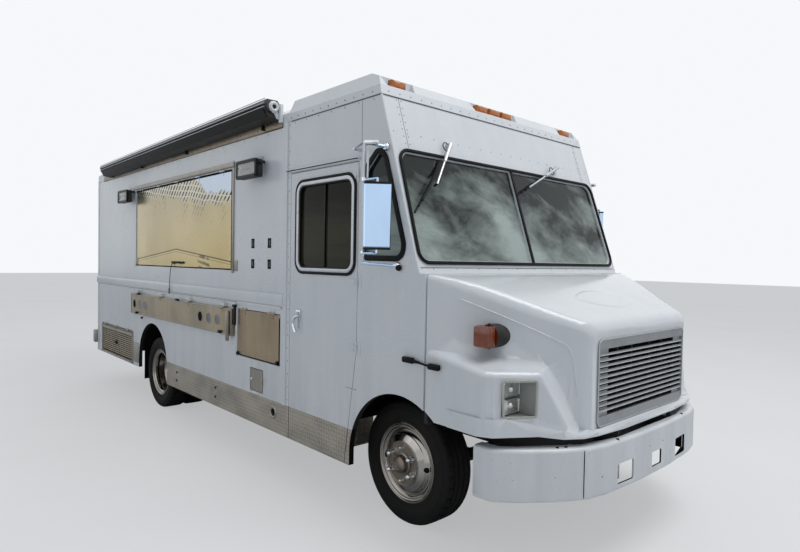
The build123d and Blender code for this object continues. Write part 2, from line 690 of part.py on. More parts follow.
def cab_front():
    """Raked face round the windscreen, and the firewall below it."""
    bottom = COWL_Z
    past = 5
    face = raked_slab(corners(-HALF_W, HALF_W, bottom - 4 * past, SEAM_Z + 4 * past), 0, FACE_T)
    face = face & block(BOX_REAR_X, NOSE_X, -HALF_W, HALF_W, bottom, SEAM_Z)
    face -= raked_slab(screen_outline(), -past, FACE_T + past, SCREEN_R)
    post = corners(-SCREEN_POST / 2, SCREEN_POST / 2, SCREEN_BOTTOM[1] - past, SCREEN_TOP[1] + past)
    face += raked_slab(post, 0, FACE_T)
    wall = block(HOOD_X - FIREWALL_T, HOOD_X, -SEATED_W, SEATED_W, FLOOR_Z - FLOOR_T, bottom)
    half, top = TUNNEL[1], TUNNEL[2] - STEP_T
    wall -= block(HOOD_X - FIREWALL_T - PAST, HOOD_X + PAST, -half, half, HOOD_LOW_Z, top)
    shelf = block(face_x(bottom + FACE_T, FACE_T), HOOD_X, -SEATED_W, SEATED_W, bottom - FACE_T, bottom)
    return face + wall + shelf


def door_outline(rear, front, foot, low, top):
    """Cab door shape with its forward edge leaning back below the kink."""
    return [(rear, low), (rear, top), (front, top), (front, DOOR_KINK_Z), (foot, low)]


def quarter_window():
    """Outline of the window between the door and the raked face."""
    top_rear, top, top_front = (SEAM_Z - drop for drop in QUARTER_DROP)
    low, low_front = QUARTER_Z
    return [(QUARTER_X, top_rear), (face_x(top) - QUARTER_EDGE - 44, top), (face_x(top_front) - QUARTER_EDGE, top_front),
            (face_x(low_front) - QUARTER_EDGE, low_front), (face_x(low) - 2 * QUARTER_EDGE + 10, low - 7),
            (QUARTER_X, low)]


def cab_side():
    """Right side of the cab, with the door opening, quarter window and wheel arch."""
    edge = [(JOINT_X, SKIRT_Z), (JOINT_X, SEAM_Z), (face_x(SEAM_Z, FACE_T), SEAM_Z), (face_x(COWL_Z, FACE_T), COWL_Z),
            (HOOD_X, COWL_Z), (HOOD_X, SKIRT_Z)]
    side = slab(edge, "Y", -HALF_W, -INNER_W)
    side -= arch_cut(FRONT_ARCH, -HALF_W - PAST, -INNER_W + PAST)
    hole = door_outline(DOOR_REAR_X, DOOR_FRONT_X, DOOR_FOOT_X, SKIRT_Z, DOOR_TOP_Z)
    side -= slab(hole, "Y", -HALF_W - PAST, -INNER_W + PAST)
    side -= slab(quarter_window(), "Y", -HALF_W - PAST, -INNER_W + PAST, QUARTER_R)
    drip = block(DOOR_REAR_X, DOOR_FRONT_X, -HALF_W - DRIP_T, -HALF_W, DOOR_TOP_Z + GAP, DOOR_TOP_Z + GAP + DRIP_H)
    return fuse(side, [drip] + hinges(door_hinges, FORE, UP)[1])


def door():
    """Right cab door with its window opening and hinge halves."""
    shape = door_outline(DOOR_REAR_X + GAP, DOOR_FRONT_X - GAP, DOOR_FOOT_X - GAP, SKIRT_Z, DOOR_TOP_Z - GAP)
    leaf = slab(shape, "Y", -HALF_W, -INNER_W)
    leaf -= slab(corners(*DOOR_WINDOW), "Y", -HALF_W - PAST, -INNER_W + PAST, WINDOW_R)
    x0, x1, z0, z1 = HANDLE
    x, out, r = (x0 + x1) / 2, HALF_W + 25, 9
    handle = slab(corners(*HANDLE), "Y", -HALF_W - GAP, -HALF_W)
    handle += rod((x, -out, z0 + 20), (x, -out, z1 - 15), r)
    for z in (z0 + 30, z1 - 25):
        handle += rod((x, -out, z), (x, -HALF_W, z), r - 1)
    return fuse(leaf + handle, hinges(door_hinges, FORE, UP)[0])


def pane(outline, radius):
    """Glass in the middle of the right wall."""
    middle = -HALF_W + WALL_T / 2
    return slab(outline, "Y", middle - GLASS_T / 2, middle + GLASS_T / 2, radius, SEAT_CLEAR)


def door_glass():
    """Pane of the right cab door."""
    return pane(corners(*DOOR_WINDOW), WINDOW_R)


def fixed_glass():
    """Two windscreen panes and two quarter windows."""
    back = (FACE_T + GLASS_T) / 2
    (wt, zt), (wb, zb) = SCREEN_TOP, SCREEN_BOTTOM
    half = SCREEN_POST / 2
    right = raked_slab([(-wt, zt), (-half, zt), (-half, zb), (-wb, zb)], back - GLASS_T, back, 0, SEAT_CLEAR)
    rounded = raked_slab(screen_outline(), 0, FACE_T, SCREEN_R, SEAT_CLEAR)
    return both(right & rounded) + both(pane(quarter_window(), QUARTER_R))


def side_skirts():
    """Tread-plate skirts under the box."""
    front = block(REAR_ARCH[0], JOINT_X - SEAT_CLEAR, -HALF_W, -HALF_W + SKIRT_T, SKIRT_Z, SILL_Z)
    front -= arch_cut(REAR_ARCH, -HALF_W - PAST, -INNER_W)
    return [front - disc_y(*FILLER, -HALF_W - PAST, -HALF_W + SKIRT_T + PAST), flip(front)]


def wrap(points):
    """Closed plan from X and distance in from the body side, the same on both sides."""
    right = [(x, inset - HALF_W) for x, inset in points]
    return right + [(x, -y) for x, y in reversed(right)]


def bumper_x(y):
    """Front of the bumper at a distance from the middle."""
    points = [(x, HALF_W - inset) for x, inset in BUMPER_PLAN]
    for (x0, y0), (x1, y1) in zip(points, points[1:]):
        if y1 <= y <= y0:
            return x0 + (x1 - x0) * (y0 - y) / (y0 - y1)
    return points[-1][0]


def front_bumper():
    """Wrap-round channel bumper with lamp openings, on two arms outside the rails."""
    t = BUMPER_T
    z0, z1 = BUMPER_Z
    plan = wrap(BUMPER_PLAN)
    bar = slab(plan, "Z", z0, z1)
    rim = [e for z in BUMPER_Z for e in bar.edges().filter_by_position(Axis.Z, z - PAST, z + PAST)
           if e.center().X > BUMPER_PLAN[0][0] + PAST]
    bar = fillet(rim, BUMPER_EDGE_R)
    bar -= slab(plan, "Z", z0 + t, z1 - t, inset=t) - block(0, BUMPER_PLAN[0][0] - t, -HALF_W, HALF_W, z0, z1)
    bar -= slab(wrap(BUMPER_INSIDE), "Z", z0 - PAST, z1 + PAST)
    x0, x1 = BUMPER_PLAN[-2][0] - 5 * t, BUMPER_PLAN[-1][0] + t
    for y, w, h in BUMPER_HOLES:
        hole = corners(y - w / 2, y + w / 2, BUMPER_HOLE_Z - h / 2, BUMPER_HOLE_Z + h / 2)
        bar -= slab(hole, "X", x0, x1, 10)
    for y in (-PLATE_PITCH / 2, PLATE_PITCH / 2):
        bar -= rod((x0, y, PLATE_Z), (x1, y, PLATE_Z), PLATE_HOLE_R)
    width, back, arm_z0, arm_z1 = BUMPER_ARM
    y0 = RAIL_Y + SEAT_CLEAR
    return fuse(bar, both(block(back, bumper_x(y0 + width) - BUMPER_ARM_BACK, -y0, -y0 - width, arm_z0, arm_z1)))


def rear_bumper():
    """Step bumper across the back, on two arms outside the rails."""
    t = REAR_BUMPER_T
    half = HALF_W - REAR_BUMPER[1]
    z0, z1 = REAR_BUMPER[2:]
    bar = block(BUMPER_REAR_X, BOX_REAR_X - GAP, -half, half, z0, z1)
    bar -= block(BUMPER_REAR_X + t, BOX_REAR_X, t - half, half - t, z0 + t, z1 - t)
    width, reach, arm_z0, arm_z1 = REAR_ARM
    y0 = RAIL_Y + SEAT_CLEAR
    return fuse(bar, both(block(BUMPER_REAR_X + t / 2, BOX_REAR_X + reach, -y0, -y0 - width, arm_z0, arm_z1)))


def awning():
    """Rolled awning in its case, tilted for drainage, on brackets along the roof rail."""
    y0, y1 = -HALF_W - AWNING_OUT[0], -HALF_W - AWNING_OUT[1]
    low, top = SEAM_Z + 25, SEAM_Z + 157
    groove = top - 48
    shape = [(y0, low - 14), (y1 + 46, low), (y1 + 6, groove - 6), (y1 + 14, groove), (y1, groove + 6), (y1 + 6, top - 12),
             (y1 + 28, top), (y0 - 20, top), (y0, top - 24)]
    x0, x1 = AWNING_X
    case = slab(shape, "X", x0, x1)
    for x, way in ((x0, -1), (x1, 1)):
        case += rod((x, (y0 + y1) / 2 - 10, top - 56), (x + way * 16, (y0 + y1) / 2 - 10, top - 56), AWNING_KNOB_R)
    case = Pos((x0 + x1) / 2, 0, top) * Rot(0, -AWNING_TILT, 0) * Pos(-(x0 + x1) / 2, 0, -top) * case
    ends = (x0 + 150, x1 - 158)
    brackets = [block(x - 40, x + 40, y0 - 20, -HALF_W, low, low + 50) for x in spread(*ends, AWNING_BRACKETS)]
    return fuse(case, brackets)


def body_lamps():
    """Marker lamps in the cap, tail lamps, and two flood lamps on the serving side."""
    depth, width, height = MARKER_SIZE
    x0, z0 = NOTCH_BACK_X + SEAT_CLEAR, SEAM_Z + CAP_BAND_H + NOTCH_FLOOR + SEAT_CLEAR
    lamps = []
    for y in [m[0] for m in MARKERS] + [-MARKER_PITCH, 0, MARKER_PITCH]:
        lens = block(x0, x0 + depth, y - width / 2, y + width / 2, z0, z0 + height)
        lamps.append(fillet(lens.faces().sort_by(Axis.X)[-1].edges(), height / 4))
    tail_y, tail_r, tail_t = TAIL_LAMP
    for side in (-1, 1):
        y = side * tail_y
        lamps += [rod((BOX_REAR_X - tail_t, y, z), (BOX_REAR_X, y, z), tail_r) for z in TAIL_LAMP_Z]
        lamps.append(block(BOX_REAR_X - tail_t, BOX_REAR_X, y - 75, y + 75, BAR_LAMP_Z - 20, BAR_LAMP_Z + 20))
    back, front = FLOOD_PLATE
    low, high = FLOOD_PLATE_Z
    for x in FLOOD_X:
        plate = block(x + back, x + front, -HALF_W - GAP, -HALF_W, low, high)
        plate = fillet(plate.edges().filter_by(Axis.Y), 30)
        stem = block(x - 40, x + 40, -HALF_W - 60, -HALF_W, low + 40, high - 60)
        head = block(x - FLOOD_HALF_W, x + FLOOD_HALF_W, -HALF_W - 110, -HALF_W - 52, *FLOOD_Z)
        lamps.append(plate + stem + fillet(head.edges().filter_by(Axis.Y), 22))
    return lamps


def mirrors():
    """Outside mirrors on tube arms."""
    x, y, r = MIRROR_X, -HALF_W - MIRROR_OUT, MIRROR_TUBE_R
    low, high = MIRROR_Z
    foot_t, foot_r = MIRROR_FOOT
    feet = ((x + 50, high - 15), (x + 170, low - 15))
    tube = rod((x, y, high), (x, y, low), r)
    for (foot_x, foot_z), z in zip(feet, (high, low)):
        tube += Pos(x, y, z) * Sphere(r) + rod((x, y, z), (foot_x, -HALF_W - foot_t, foot_z), r)
        tube += disc_y(foot_x, foot_z, foot_r, -HALF_W, -HALF_W - foot_t)
    head_x, head_y, head_z = x + 118, y + 12, 2000
    head = Pos(head_x, head_y, head_z) * Rot(0, 0, MIRROR_TURN) * fillet(Box(*MIRROR_HEAD).edges(), 18)
    for z in (head_z + 225, head_z - 225):
        tube += rod((x, y, z), (head_x, head_y, z), r - 2) + rod((head_x, head_y, z), (head_x, head_y, head_z), r - 2)
    return both(tube + head)


def dashboard():
    """Dash across the cab, with the steering column and wheel."""
    shape = [(80, 1350), (80, 1500), (230, 1620), (DASH_FRONT_X, 1620), (DASH_FRONT_X, 1350)]
    dash = slab(shape, "Y", -SEATED_W, SEATED_W)
    y = STEER_Y
    hub, foot = (STEER_HUB[0], y, STEER_HUB[1]), (STEER_FOOT[0], y, STEER_FOOT[1])
    place = Plane(origin=hub, z_dir=Vector(*hub) - Vector(*foot)).location
    column = rod(foot, hub, 35) + rod((150, y, 1400), (120, y, 1255), 40)
    wheel = Torus(STEER_R, 16) + Cylinder(60, 30)
    for turn in (90, 210, 330):
        wheel += Rot(0, 0, turn) * Pos(STEER_R / 2 + 17, 0, 0) * Box(STEER_R - 25, 26, 14)
    return dash + column + place * wheel


def driver_seat():
    """Cushion, back and pedestal."""
    y0, y1 = SEAT_Y
    foot = block(-760, -500, y0 + 85, y1 - 115, FLOOR_Z, FLOOR_Z + 320)
    base = fillet(block(-850, -370, y0, y1, FLOOR_Z + 310, FLOOR_Z + 450).edges(), 40)
    rest = slab([(-850, 1200), (-740, 1200), (-860, 1900), (-960, 1900)], "Y", y0 + 5, y1 - 5)
    return foot + base + fillet(rest.edges().filter_by(Axis.Y), 40)


def rim_section():
    """Closed (radius, y) outline of a disc wheel, its bowl standing out towards negative y."""
    w, r, face = RIM_W / 2, RIM_R, TWIN_SPACING / 2
    well, barrel = r - RIM_WELL, r - RIM_WELL - RIM_T
    outside = [(r, -w), (r, -w + 8), (r - 13, -w + 12), (r - 15, -w + 50), (well, -w + 66), (well, w - 66),
               (r - 15, w - 50), (r - 13, w - 12), (r, w - 8), (r, w)]
    inside = [(r - 12, w), (r - 22, w - 14), (r - 24, w - 46), (barrel, w - 60), (barrel, -w + 69)]
    bowl_back = [(barrel - 21, 34 - w), (barrel - 42, 1 - w), (DISC_FACE_R + 4, RIM_T + 2 - face),
                 (DISC_HOLE_R, RIM_T - face)]
    bowl_front = [(DISC_HOLE_R, -face), (DISC_FACE_R, -face), (DISC_FACE_R + 8, 5 - face), (barrel - 33, -w - 8),
                  (barrel - 11, 24 - w), (barrel, -w + 60)]
    return outside + inside + bowl_back + bowl_front + [(r - 24, -w + 46), (r - 22, -w + 14), (r - 12, -w)]


def rim(centre_y, flipped=False):
    """Disc wheel with two hand holes, its middle at centre_y on the axle line."""
    wheel = turned(rim_section())
    radius, hole_r = HAND_HOLE
    for side in (-1, 1):
        wheel -= disc_y(side * radius, 0, hole_r, -TWIN_SPACING / 2, -RIM_W / 4)
    return Pos(0, centre_y, 0) * (flip(wheel) if flipped else wheel)


def hub(y_in, y_web, y_out, bore):
    """Hub and brake drum round the spindle."""
    r = DISC_HOLE_R + HUB_WALL
    return turned([(bore, y_out), (r, y_out), (r, y_web), (DRUM_R, y_web), (DRUM_R, y_in), (DRUM_R - DRUM_T, y_in),
                   (DRUM_R - DRUM_T, y_web + DRUM_T), (r, y_web + DRUM_T), (r, y_in), (bore, y_in)])


def tyre(centre_y):
    """Tyre with plain tread."""
    w, g, bead = TYRE_W / 2, SEAT_CLEAR, RIM_W / 2
    half = [(RIM_R - 13 + g, bead - 13), (RIM_R + g, bead - 9), (RIM_R + g, bead), (RIM_R + 16, w - 13),
            (RIM_R + 42, w - 3), (RIM_R + 75, w), (TYRE_R - 34, w - 5), (TYRE_R - 12, w - 14), (TYRE_R - 2, w - 26),
            (TYRE_R, w - 36)]
    return Pos(0, centre_y, 0) * turned(half + [(r, -y) for r, y in reversed(half)])


def front_wheel():
    """Rim and hub of the right front wheel, and its tyre."""
    y = -FRONT_WHEEL_Y
    face = y - TWIN_SPACING / 2
    wheel = rim(y) + hub(-KINGPIN_Y - 96, y - 20, face, SPINDLE_R + RUN_CLEAR)
    r = DISC_HOLE_R + HUB_WALL
    cap = turned([(0, face - 58), (36, face - 54), (54, face - 36), (60, face - 8), (r, face - 3), (r, face + 13),
                  (0, face + 13)])
    place = Pos(0, 0, TYRE_R)
    return place * (wheel + cap), place * tyre(y)


def rear_wheels():
    """Twin rims with hub of the right rear wheels, and their tyres."""
    outer, inner, middle = -REAR_OUTER_Y, -REAR_OUTER_Y + TWIN_SPACING, -REAR_HUB_Y
    bore = REAR_SPINDLE_R + RUN_CLEAR
    wheel = rim(outer, True) + rim(inner) + hub(-REAR_FLANGE_Y - 30, middle + 100, middle - 33, bore)
    cap = turned([(0, outer - 12), (60, outer - 6), (78, outer + 18), (82, middle - 28), (bore, middle - 28),
                  (bore, middle - 60), (0, middle - 60)])
    place = Pos(REAR_X, 0, TYRE_R)
    return place * (wheel + cap), [place * tyre(outer), place * tyre(inner)]


def knuckle():
    """Right steering knuckle: ears on the king pin, web, spindle and backing plate."""
    y, z = -KINGPIN_Y, TYRE_R
    out = y - 80
    piece = Pos(0, y, z) * Cylinder(PIN_R, 190)
    for low in (z - 84, z + 51):
        piece += Pos(0, y, low + 16) * Cylinder(36, 32) + block(-34, 34, out, y, low, low + 32)
    piece += block(-48, 48, out, out + 28, z - 84, z + 83)
    piece += disc_y(0, z, SPINDLE_R, out, -FRONT_WHEEL_Y - 100)
    return piece + disc_y(0, z, 170, out - 8, out - 2) + disc_y(0, z, 60, out - 2, out + 2)


def hood_half(x):
    """Half width of the tapering hood at X."""
    rear, wide = HOOD_ROWS[0][0], HALF_W - HOOD_SIDE_GAP
    return wide + (NOSE_HALF_W - wide) * (x - rear) / (NOSE_X - rear)


def hood_row(x):
    """Shape of the hood top between its last two rows."""
    a, b = HOOD_ROWS[-2:]
    share = (x - a[0]) / (b[0] - a[0])
    return [p + (q - p) * share for p, q in zip(a, b)]


def hood_section(row, inset=0, shrink=0):
    """Face across the hood: upright sides, rounded shoulders and a crowned top."""
    x, edge, crown, drop, run = row
    w = hood_half(x) - inset - shrink
    z, top, mid = edge - drop - inset - shrink, edge + 0.75 * crown - inset - shrink, edge + crown - inset - shrink
    low = HOOD_LOW_Z

    def shoulder(s):
        bulge = (x, s * (w - 0.29 * run), z + 0.71 * (top - z))
        return ThreePointArc((x, s * w, z), bulge, (x, s * (w - run), top))
    over = ThreePointArc((x, run - w, top), (x, 0, mid), (x, w - run, top))
    sides = [Line((x, -w, low), (x, -w, z)), Line((x, w, z), (x, w, low)), Line((x, w, low), (x, -w, low))]
    return make_face([sides[0], shoulder(-1), over, shoulder(1)] + sides[1:])


def hood_body(inset):
    """Tapering body of the hood with its rounded nose, drawn in by inset."""
    rear = (HOOD_ROWS[0][0] - (2 * PAST if inset > 0 else 0), *HOOD_ROWS[0][1:])
    nose, r = NOSE_X - inset, NOSE_R - inset
    main = loft([hood_section(row, inset) for row in [rear] + HOOD_ROWS[1:-1] + [hood_row(nose - r)]])
    turn = [radians(a) for a in (0, 30, 60, 90)]
    front = [hood_section(hood_row(nose - r + r * sin(a)), inset, r * (1 - cos(a))) for a in turn]
    return main + loft(front, ruled=True)


def fender(inset):
    """Right fender bulge with rounded corner and top, drawn in by inset."""
    rear = HOOD_ROWS[0][0] - (inset + 4 * PAST if inset > 0 else 0)
    slope_x, slope_y = FENDER_SLOPE
    side = -FENDER_SIDE

    def top_z(x, y):
        return FENDER_TOP_Z - inset - slope_x * (x - FENDER_TOP_X) + slope_y * (y - side)
    low = [(rear, side)] + [(x, side + d) for x, d in FENDER_LOW] + [(FENDER_LOW[-1][0], 0), (rear, 0)]
    top = [(rear, side)] + [(x, side + d) for x, d in FENDER_TOP] + [(rear, side + FENDER_TOP[-1][1] + 70)]
    low_face = outline_face([(x, y, HOOD_LOW_Z) for x, y in low], inset=max(inset, 0))
    top_face = outline_face([(x, y, top_z(x, y)) for x, y in top], inset=max(inset, 0))
    form = loft([low_face, top_face], ruled=True)
    front = form.edges().filter_by(lambda e: e.length > 300 and e.center().X > FENDER_LOW[0][0] - 30)
    upright = [e for e in front if abs(e.tangent_at(0.5).Z) > 0.7]
    form = fillet(upright, FENDER_CORNER_R - inset)
    crown = [e for e in form.edges() if min(v.Z for v in e.vertices()) > HOOD_PIVOT[1] + 200
             and e.center().Y < FENDER_TOP[-1][1] + side + 30]
    return fillet(crown, FENDER_EDGE_R - inset)


def hood_lip(inset):
    """Lower band that stands proud round the fenders and under the grille, drawn in by inset."""
    plan = wrap(LIP_PLAN)
    t = LIP_T if inset else 0
    (x0, z0), (x1, z1), (x2, z2) = [(x, z - t) for x, z in LIP_TOP]
    band = slab(plan, "Z", HOOD_LOW_Z, z0, inset=t)
    return band - slab([(x0, z0), (x1, z1), (x2 + PAST, z2), (x2 + PAST, z0 + PAST), (x0, z0 + PAST)], "Y", -HALF_W, HALF_W)


def hood_form(inset):
    """Outer form of the hood with fenders and lip, drawn in by inset."""
    return hood_body(inset) + fender(inset) + flip(fender(inset)) + hood_lip(inset)


def lamp_opening(side, grow, x1):
    """Space of one headlamp recess, widened by grow, open forwards."""
    y0, y1 = sorted((side * LAMP_Y[0], side * LAMP_Y[1]))
    return slab(corners(y0, y1, *LAMP_Z, inset=-grow), "X", LAMP_BACK_X, x1, LAMP_CORNER_R)


def hood():
    """Tilting hood with its fenders, nose and pivot arms."""
    shell = hood_form(0) - hood_form(HOOD_T)
    far, wide = 2 * NOSE_X, 2 * HALF_W
    low = NOSE_BOTTOM_Z - 5
    shell -= block(0, far, -wide, wide, 0, NOSE_BOTTOM_Z)
    shell -= slab([(0, low), (0, HOOD_BOTTOM_Z), (1000, HOOD_BOTTOM_Z), (1100, low)], "Y", -wide, wide)
    shell -= arch_cut(FRONT_ARCH, -wide, wide)
    w = GRILLE_HALF_W
    shell -= slab(corners(-w, w, *GRILLE_Z), "X", GRILLE_X[0] - 20, GRILLE_X[1] + 20, GRILLE_R)
    for side in (-1, 1):
        shell -= lamp_opening(side, 0, far)
    px, pz = HOOD_PIVOT
    for side in (-1, 1):
        y1 = side * (LUG_Y - LUG_T / 2 - ARM_GAP)
        y0 = y1 - side * ARM_T
        shell += block(px - 40, px + 26, y0, y1, pz, GRILLE_Z[0] - 10) + disc_y(px, pz, LUG_R, y0, y1)
        shell += disc_y(px, pz, PIVOT_R, y0, side * (LUG_Y + LUG_T / 2 + 10))
    return shell


def grille():
    """Frame with level slats and upright bars, on the nose."""
    z0, z1 = GRILLE_Z
    x0, x1 = GRILLE_X
    w, band, mesh = GRILLE_HALF_W, GRILLE_BAND, GRILLE_MESH_HALF
    frame = slab(corners(-w, w, z0, z1, SEAT_CLEAR), "X", x0, x1, GRILLE_R)
    frame -= slab(corners(-mesh, mesh, z0 + band, z1 - band), "X", x0 - PAST, x1 + PAST)
    frame -= slab(corners(GRILLE_EDGE - w, w - GRILLE_EDGE, z0 + band, z1 - band), "X", x1 - SLAT_T, x1 + PAST)
    for z in spread(z0 + band, z1 - band, SLAT_COUNT + 2)[1:-1]:
        frame += block(x0 + 14, x1 - 3, GRILLE_EDGE - w, w - GRILLE_EDGE, z - SLAT_T / 2, z + SLAT_T / 2)
    for y in GRILLE_BARS:
        frame += block(x0, x0 + 18, y - 8, y + 8, z0 + band - PAST, z1 - band + PAST)
    return frame


def headlamps():
    """Lamp recesses with two sealed lamps each, and the signal lamps on the hood sides."""
    lamps = []
    trim = fender(PAST)
    z0, z1 = LAMP_Z
    middle = (z0 + z1) / 2
    back = LAMP_BACK_X + LAMP_SINK
    for side in (-1, 1):
        bucket = lamp_opening(side, -SEAT_CLEAR, NOSE_X) & (trim if side < 0 else flip(trim))
        y0, y1 = sorted((side * (LAMP_Y[0] + LAMP_SKIN), side * (LAMP_Y[1] - LAMP_SKIN)))
        bucket -= block(back, NOSE_X, y0, y1, z0 + LAMP_SKIN, z1 - LAMP_SKIN)
        for low in (z0 + LAMP_SKIN + 2, middle + 2):
            bucket += block(back - PAST, back + 10, y0 + 3, y1 - 3, low, low + (z1 - z0) / 2 - LAMP_SKIN - 6)
        lamps.append(bucket)
        x, z = SIGNAL
        y = hood_half(x) + SIGNAL_OUT
        base = disc_y(x, z, SIGNAL_R, side * y, side * (hood_half(x + SIGNAL_R) - 5)) - hood_body(-SEAT_CLEAR)
        length, out, height = SIGNAL_LENS
        lens = block(x - length / 2, x + length / 2, side * y, side * (y + out), z - height / 2, z + height / 2)
        lamps.append(base + fillet(lens.edges().filter_by(Axis.Z), 6))
    return lamps


def panel(hole):
    """Flush leaf in one of the openings of the right wall."""
    return slab(corners(*hole, inset=GAP / 2), "Y", -HALF_W, -INNER_W)


def serving_hatch():
    """Upper hatch of the serving window."""
    return fuse(panel(SERVING), hinges(serving_hinges, UP, BACK)[0])


def drop_shelf():
    """Folding shelf below the serving window, hanging closed, with shallow round marks."""
    leaf = slab(corners(*SHELF), "Y", SHELF_FACE_Y, -HALF_W - GAP)
    z = (SHELF[2] + SHELF[3]) / 2
    from_rear, from_front = SHELF_MARKS
    for x in [SHELF[0] + d for d in from_rear] + [SHELF[1] - d for d in from_front]:
        leaf -= disc_y(x, z, SHELF_MARK_R, SHELF_FACE_Y - PAST, SHELF_FACE_Y + SKIN)
    return fuse(leaf, hinges(shelf_hinges, UP, BACK)[0])


def access_panel():
    """Lift-up panel behind the door."""
    return fuse(panel(ACCESS), hinges(access_hinges, UP, BACK)[0])


def small_hatch():
    """Small side-hung hatch with its lock."""
    return fuse(panel(SMALL_HATCH), hinges(hatch_hinges, FORE, UP)[0])


def vent_door():
    """Framed grille door of the rear compartment."""
    leaf = panel(VENT)
    x0, x1, z0, z1 = VENT
    leaf -= block(x0 + VENT_RIM, x1 - VENT_RIM, -HALF_W - PAST, -INNER_W + PAST, z0 + VENT_RIM, z1 - VENT_RIM)
    for z in spread(z0 + VENT_RIM, z1 - VENT_RIM, VENT_BARS + 2)[1:-1]:
        leaf += block(x0 + VENT_RIM - PAST, x1 - VENT_RIM + PAST, -HALF_W + 4, -HALF_W + 18, z - VENT_BAR_W / 2,
                      z + VENT_BAR_W / 2)
    return fuse(leaf, hinges(vent_hinges, UP, BACK)[0])


def rear_door():
    """Right-hand rear door."""
    leaf = block(BOX_REAR_X, BOX_REAR_X + WALL_T, -REAR_DOOR_W, -GAP / 2, FLOOR_Z + 2 * GAP, REAR_DOOR_TOP_Z - GAP)
    return fuse(leaf, hinges(rear_hinges, (0, -1, 0), UP)[0])


def add(name, shape):
    """Keeps one piece, or several that do not touch, under its name."""
    nodes[name] = shape if isinstance(shape, list) else [shape]


def add_pair(name, right):
    """Keeps a right-hand piece and its mirror image."""
    add(name + "_right", right)
    add(name + "_left", [flip(piece) for piece in nodes[name + "_right"]])


for make in (chassis_frame, front_axle, rear_axle, engine_block, fuel_tank, wheel_wells, floor, side_wall_right,
             side_wall_left, rear_wall, box_roof, cab_roof, cab_front, fixed_glass, side_skirts, front_bumper,
             rear_bumper, awning, body_lamps, mirrors, dashboard, driver_seat, hood, grille, headlamps,
             serving_hatch, drop_shelf, access_panel, small_hatch, vent_door):
    add(make.__name__, make())
add("cab_sides", both(cab_side()))
for make in (door, door_glass, rear_door, knuckle):
    add_pair(make.__name__, make())
front_rim, front_tyre = front_wheel()
rear_rims, rear_tyres = rear_wheels()
for name, shape in (("front_rim", front_rim), ("front_tyre", front_tyre), ("rear_rims", rear_rims),
                    ("rear_tyres", rear_tyres)):
    add_pair(name, shape)

# Origin at the middle of the whole length
boxes = [piece.bounding_box() for pieces in nodes.values() for piece in pieces]
middle = Pos(-(min(box.min.X for box in boxes) + max(box.max.X for box in boxes)) / 2, 0, 0)
os.makedirs("parts", exist_ok=True)
for name, pieces in nodes.items():
    placed = [middle * piece for piece in pieces]
    shape = placed[0] if len(placed) == 1 else Compound(children=placed)
    export_step(shape, f"parts/{name}.step")
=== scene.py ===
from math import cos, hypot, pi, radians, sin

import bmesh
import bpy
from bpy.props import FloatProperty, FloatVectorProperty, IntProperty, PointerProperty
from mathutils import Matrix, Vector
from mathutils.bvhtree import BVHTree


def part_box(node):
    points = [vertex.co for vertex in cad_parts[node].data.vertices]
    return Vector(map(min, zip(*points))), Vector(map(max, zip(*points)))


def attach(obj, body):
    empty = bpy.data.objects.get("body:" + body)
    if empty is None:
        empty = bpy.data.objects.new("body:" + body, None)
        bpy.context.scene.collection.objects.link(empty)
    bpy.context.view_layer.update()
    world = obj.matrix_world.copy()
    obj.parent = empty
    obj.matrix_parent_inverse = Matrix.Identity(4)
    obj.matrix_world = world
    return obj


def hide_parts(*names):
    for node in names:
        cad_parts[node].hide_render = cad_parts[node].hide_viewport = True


bl_info = {
    "name": "Food truck",
    "version": (1, 0, 0),
    "blender": (4, 5, 0),
    "location": "3D View > Sidebar > Food truck",
    "description": "Dresses the packed food truck with its finishes, trims, tyres, lamps and stage",
    "category": "Object",
}

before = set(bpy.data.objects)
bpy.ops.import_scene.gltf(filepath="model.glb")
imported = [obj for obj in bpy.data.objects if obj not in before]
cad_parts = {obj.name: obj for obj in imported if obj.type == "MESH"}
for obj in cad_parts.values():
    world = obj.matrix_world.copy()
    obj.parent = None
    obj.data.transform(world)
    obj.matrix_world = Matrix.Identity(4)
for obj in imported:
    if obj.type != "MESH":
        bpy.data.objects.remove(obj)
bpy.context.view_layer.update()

# Places of the vehicle in metres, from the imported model. X is counted from the front axle.
AXLE_X = sum(corner.x for corner in map(Vector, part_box("front_tyre_right"))) / 2
REAR_X = sum(corner.x for corner in map(Vector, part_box("rear_tyres_right"))) / 2 - AXLE_X
SIDE = 1.181
TYRE_R = 0.404
BACK_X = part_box("side_wall_left")[0][0] - AXLE_X
JOINT_X = -1.143
COWL_Z = 1.66
COWL_X = 0.3223
RAKE = 0.3277
FRONT_WHEEL_Y = 0.862
REAR_OUTER_Y = 0.998
TWIN_SPACING = 0.252
NUT_CIRCLE = 0.108
FRONT_ARCH = (0.155, 0.430, 0.480)
FLOOD_X = (-1.612, -4.778)
MARKER_Y = (-0.997, -0.149, 0, 0.149, 0.997)
SLOT_ROWS = [(x, low, high) for x in (-1.69, -1.415) for low, high in ((1.656, 1.720), (1.826, 1.892))]
AWNING_SLOPE = 0.0096
AWNING_HUB_Z = 2.888
SIDES = ((-1, "right"), (1, "left"))
# Radius at the middle of a turned cap, too small to see
TIP = 0.0005


def at(x, y, z):
    """Point in the vehicle's frame, with x counted from the front axle."""
    return Vector((x + AXLE_X, y, z))


def on_side(x, z, out=0.0):
    """Point on the right wall, or out from it."""
    return at(x, -SIDE - out, z)


def on_face(y, z, out=0.0):
    """Point on the raked face of the cab, or out from it."""
    return at(COWL_X - RAKE * (z - COWL_Z), y, z) + FACE_OUT * out


FACE_OUT = Vector((1, 0, RAKE)).normalized()
OUT = Vector((0, -1, 0))


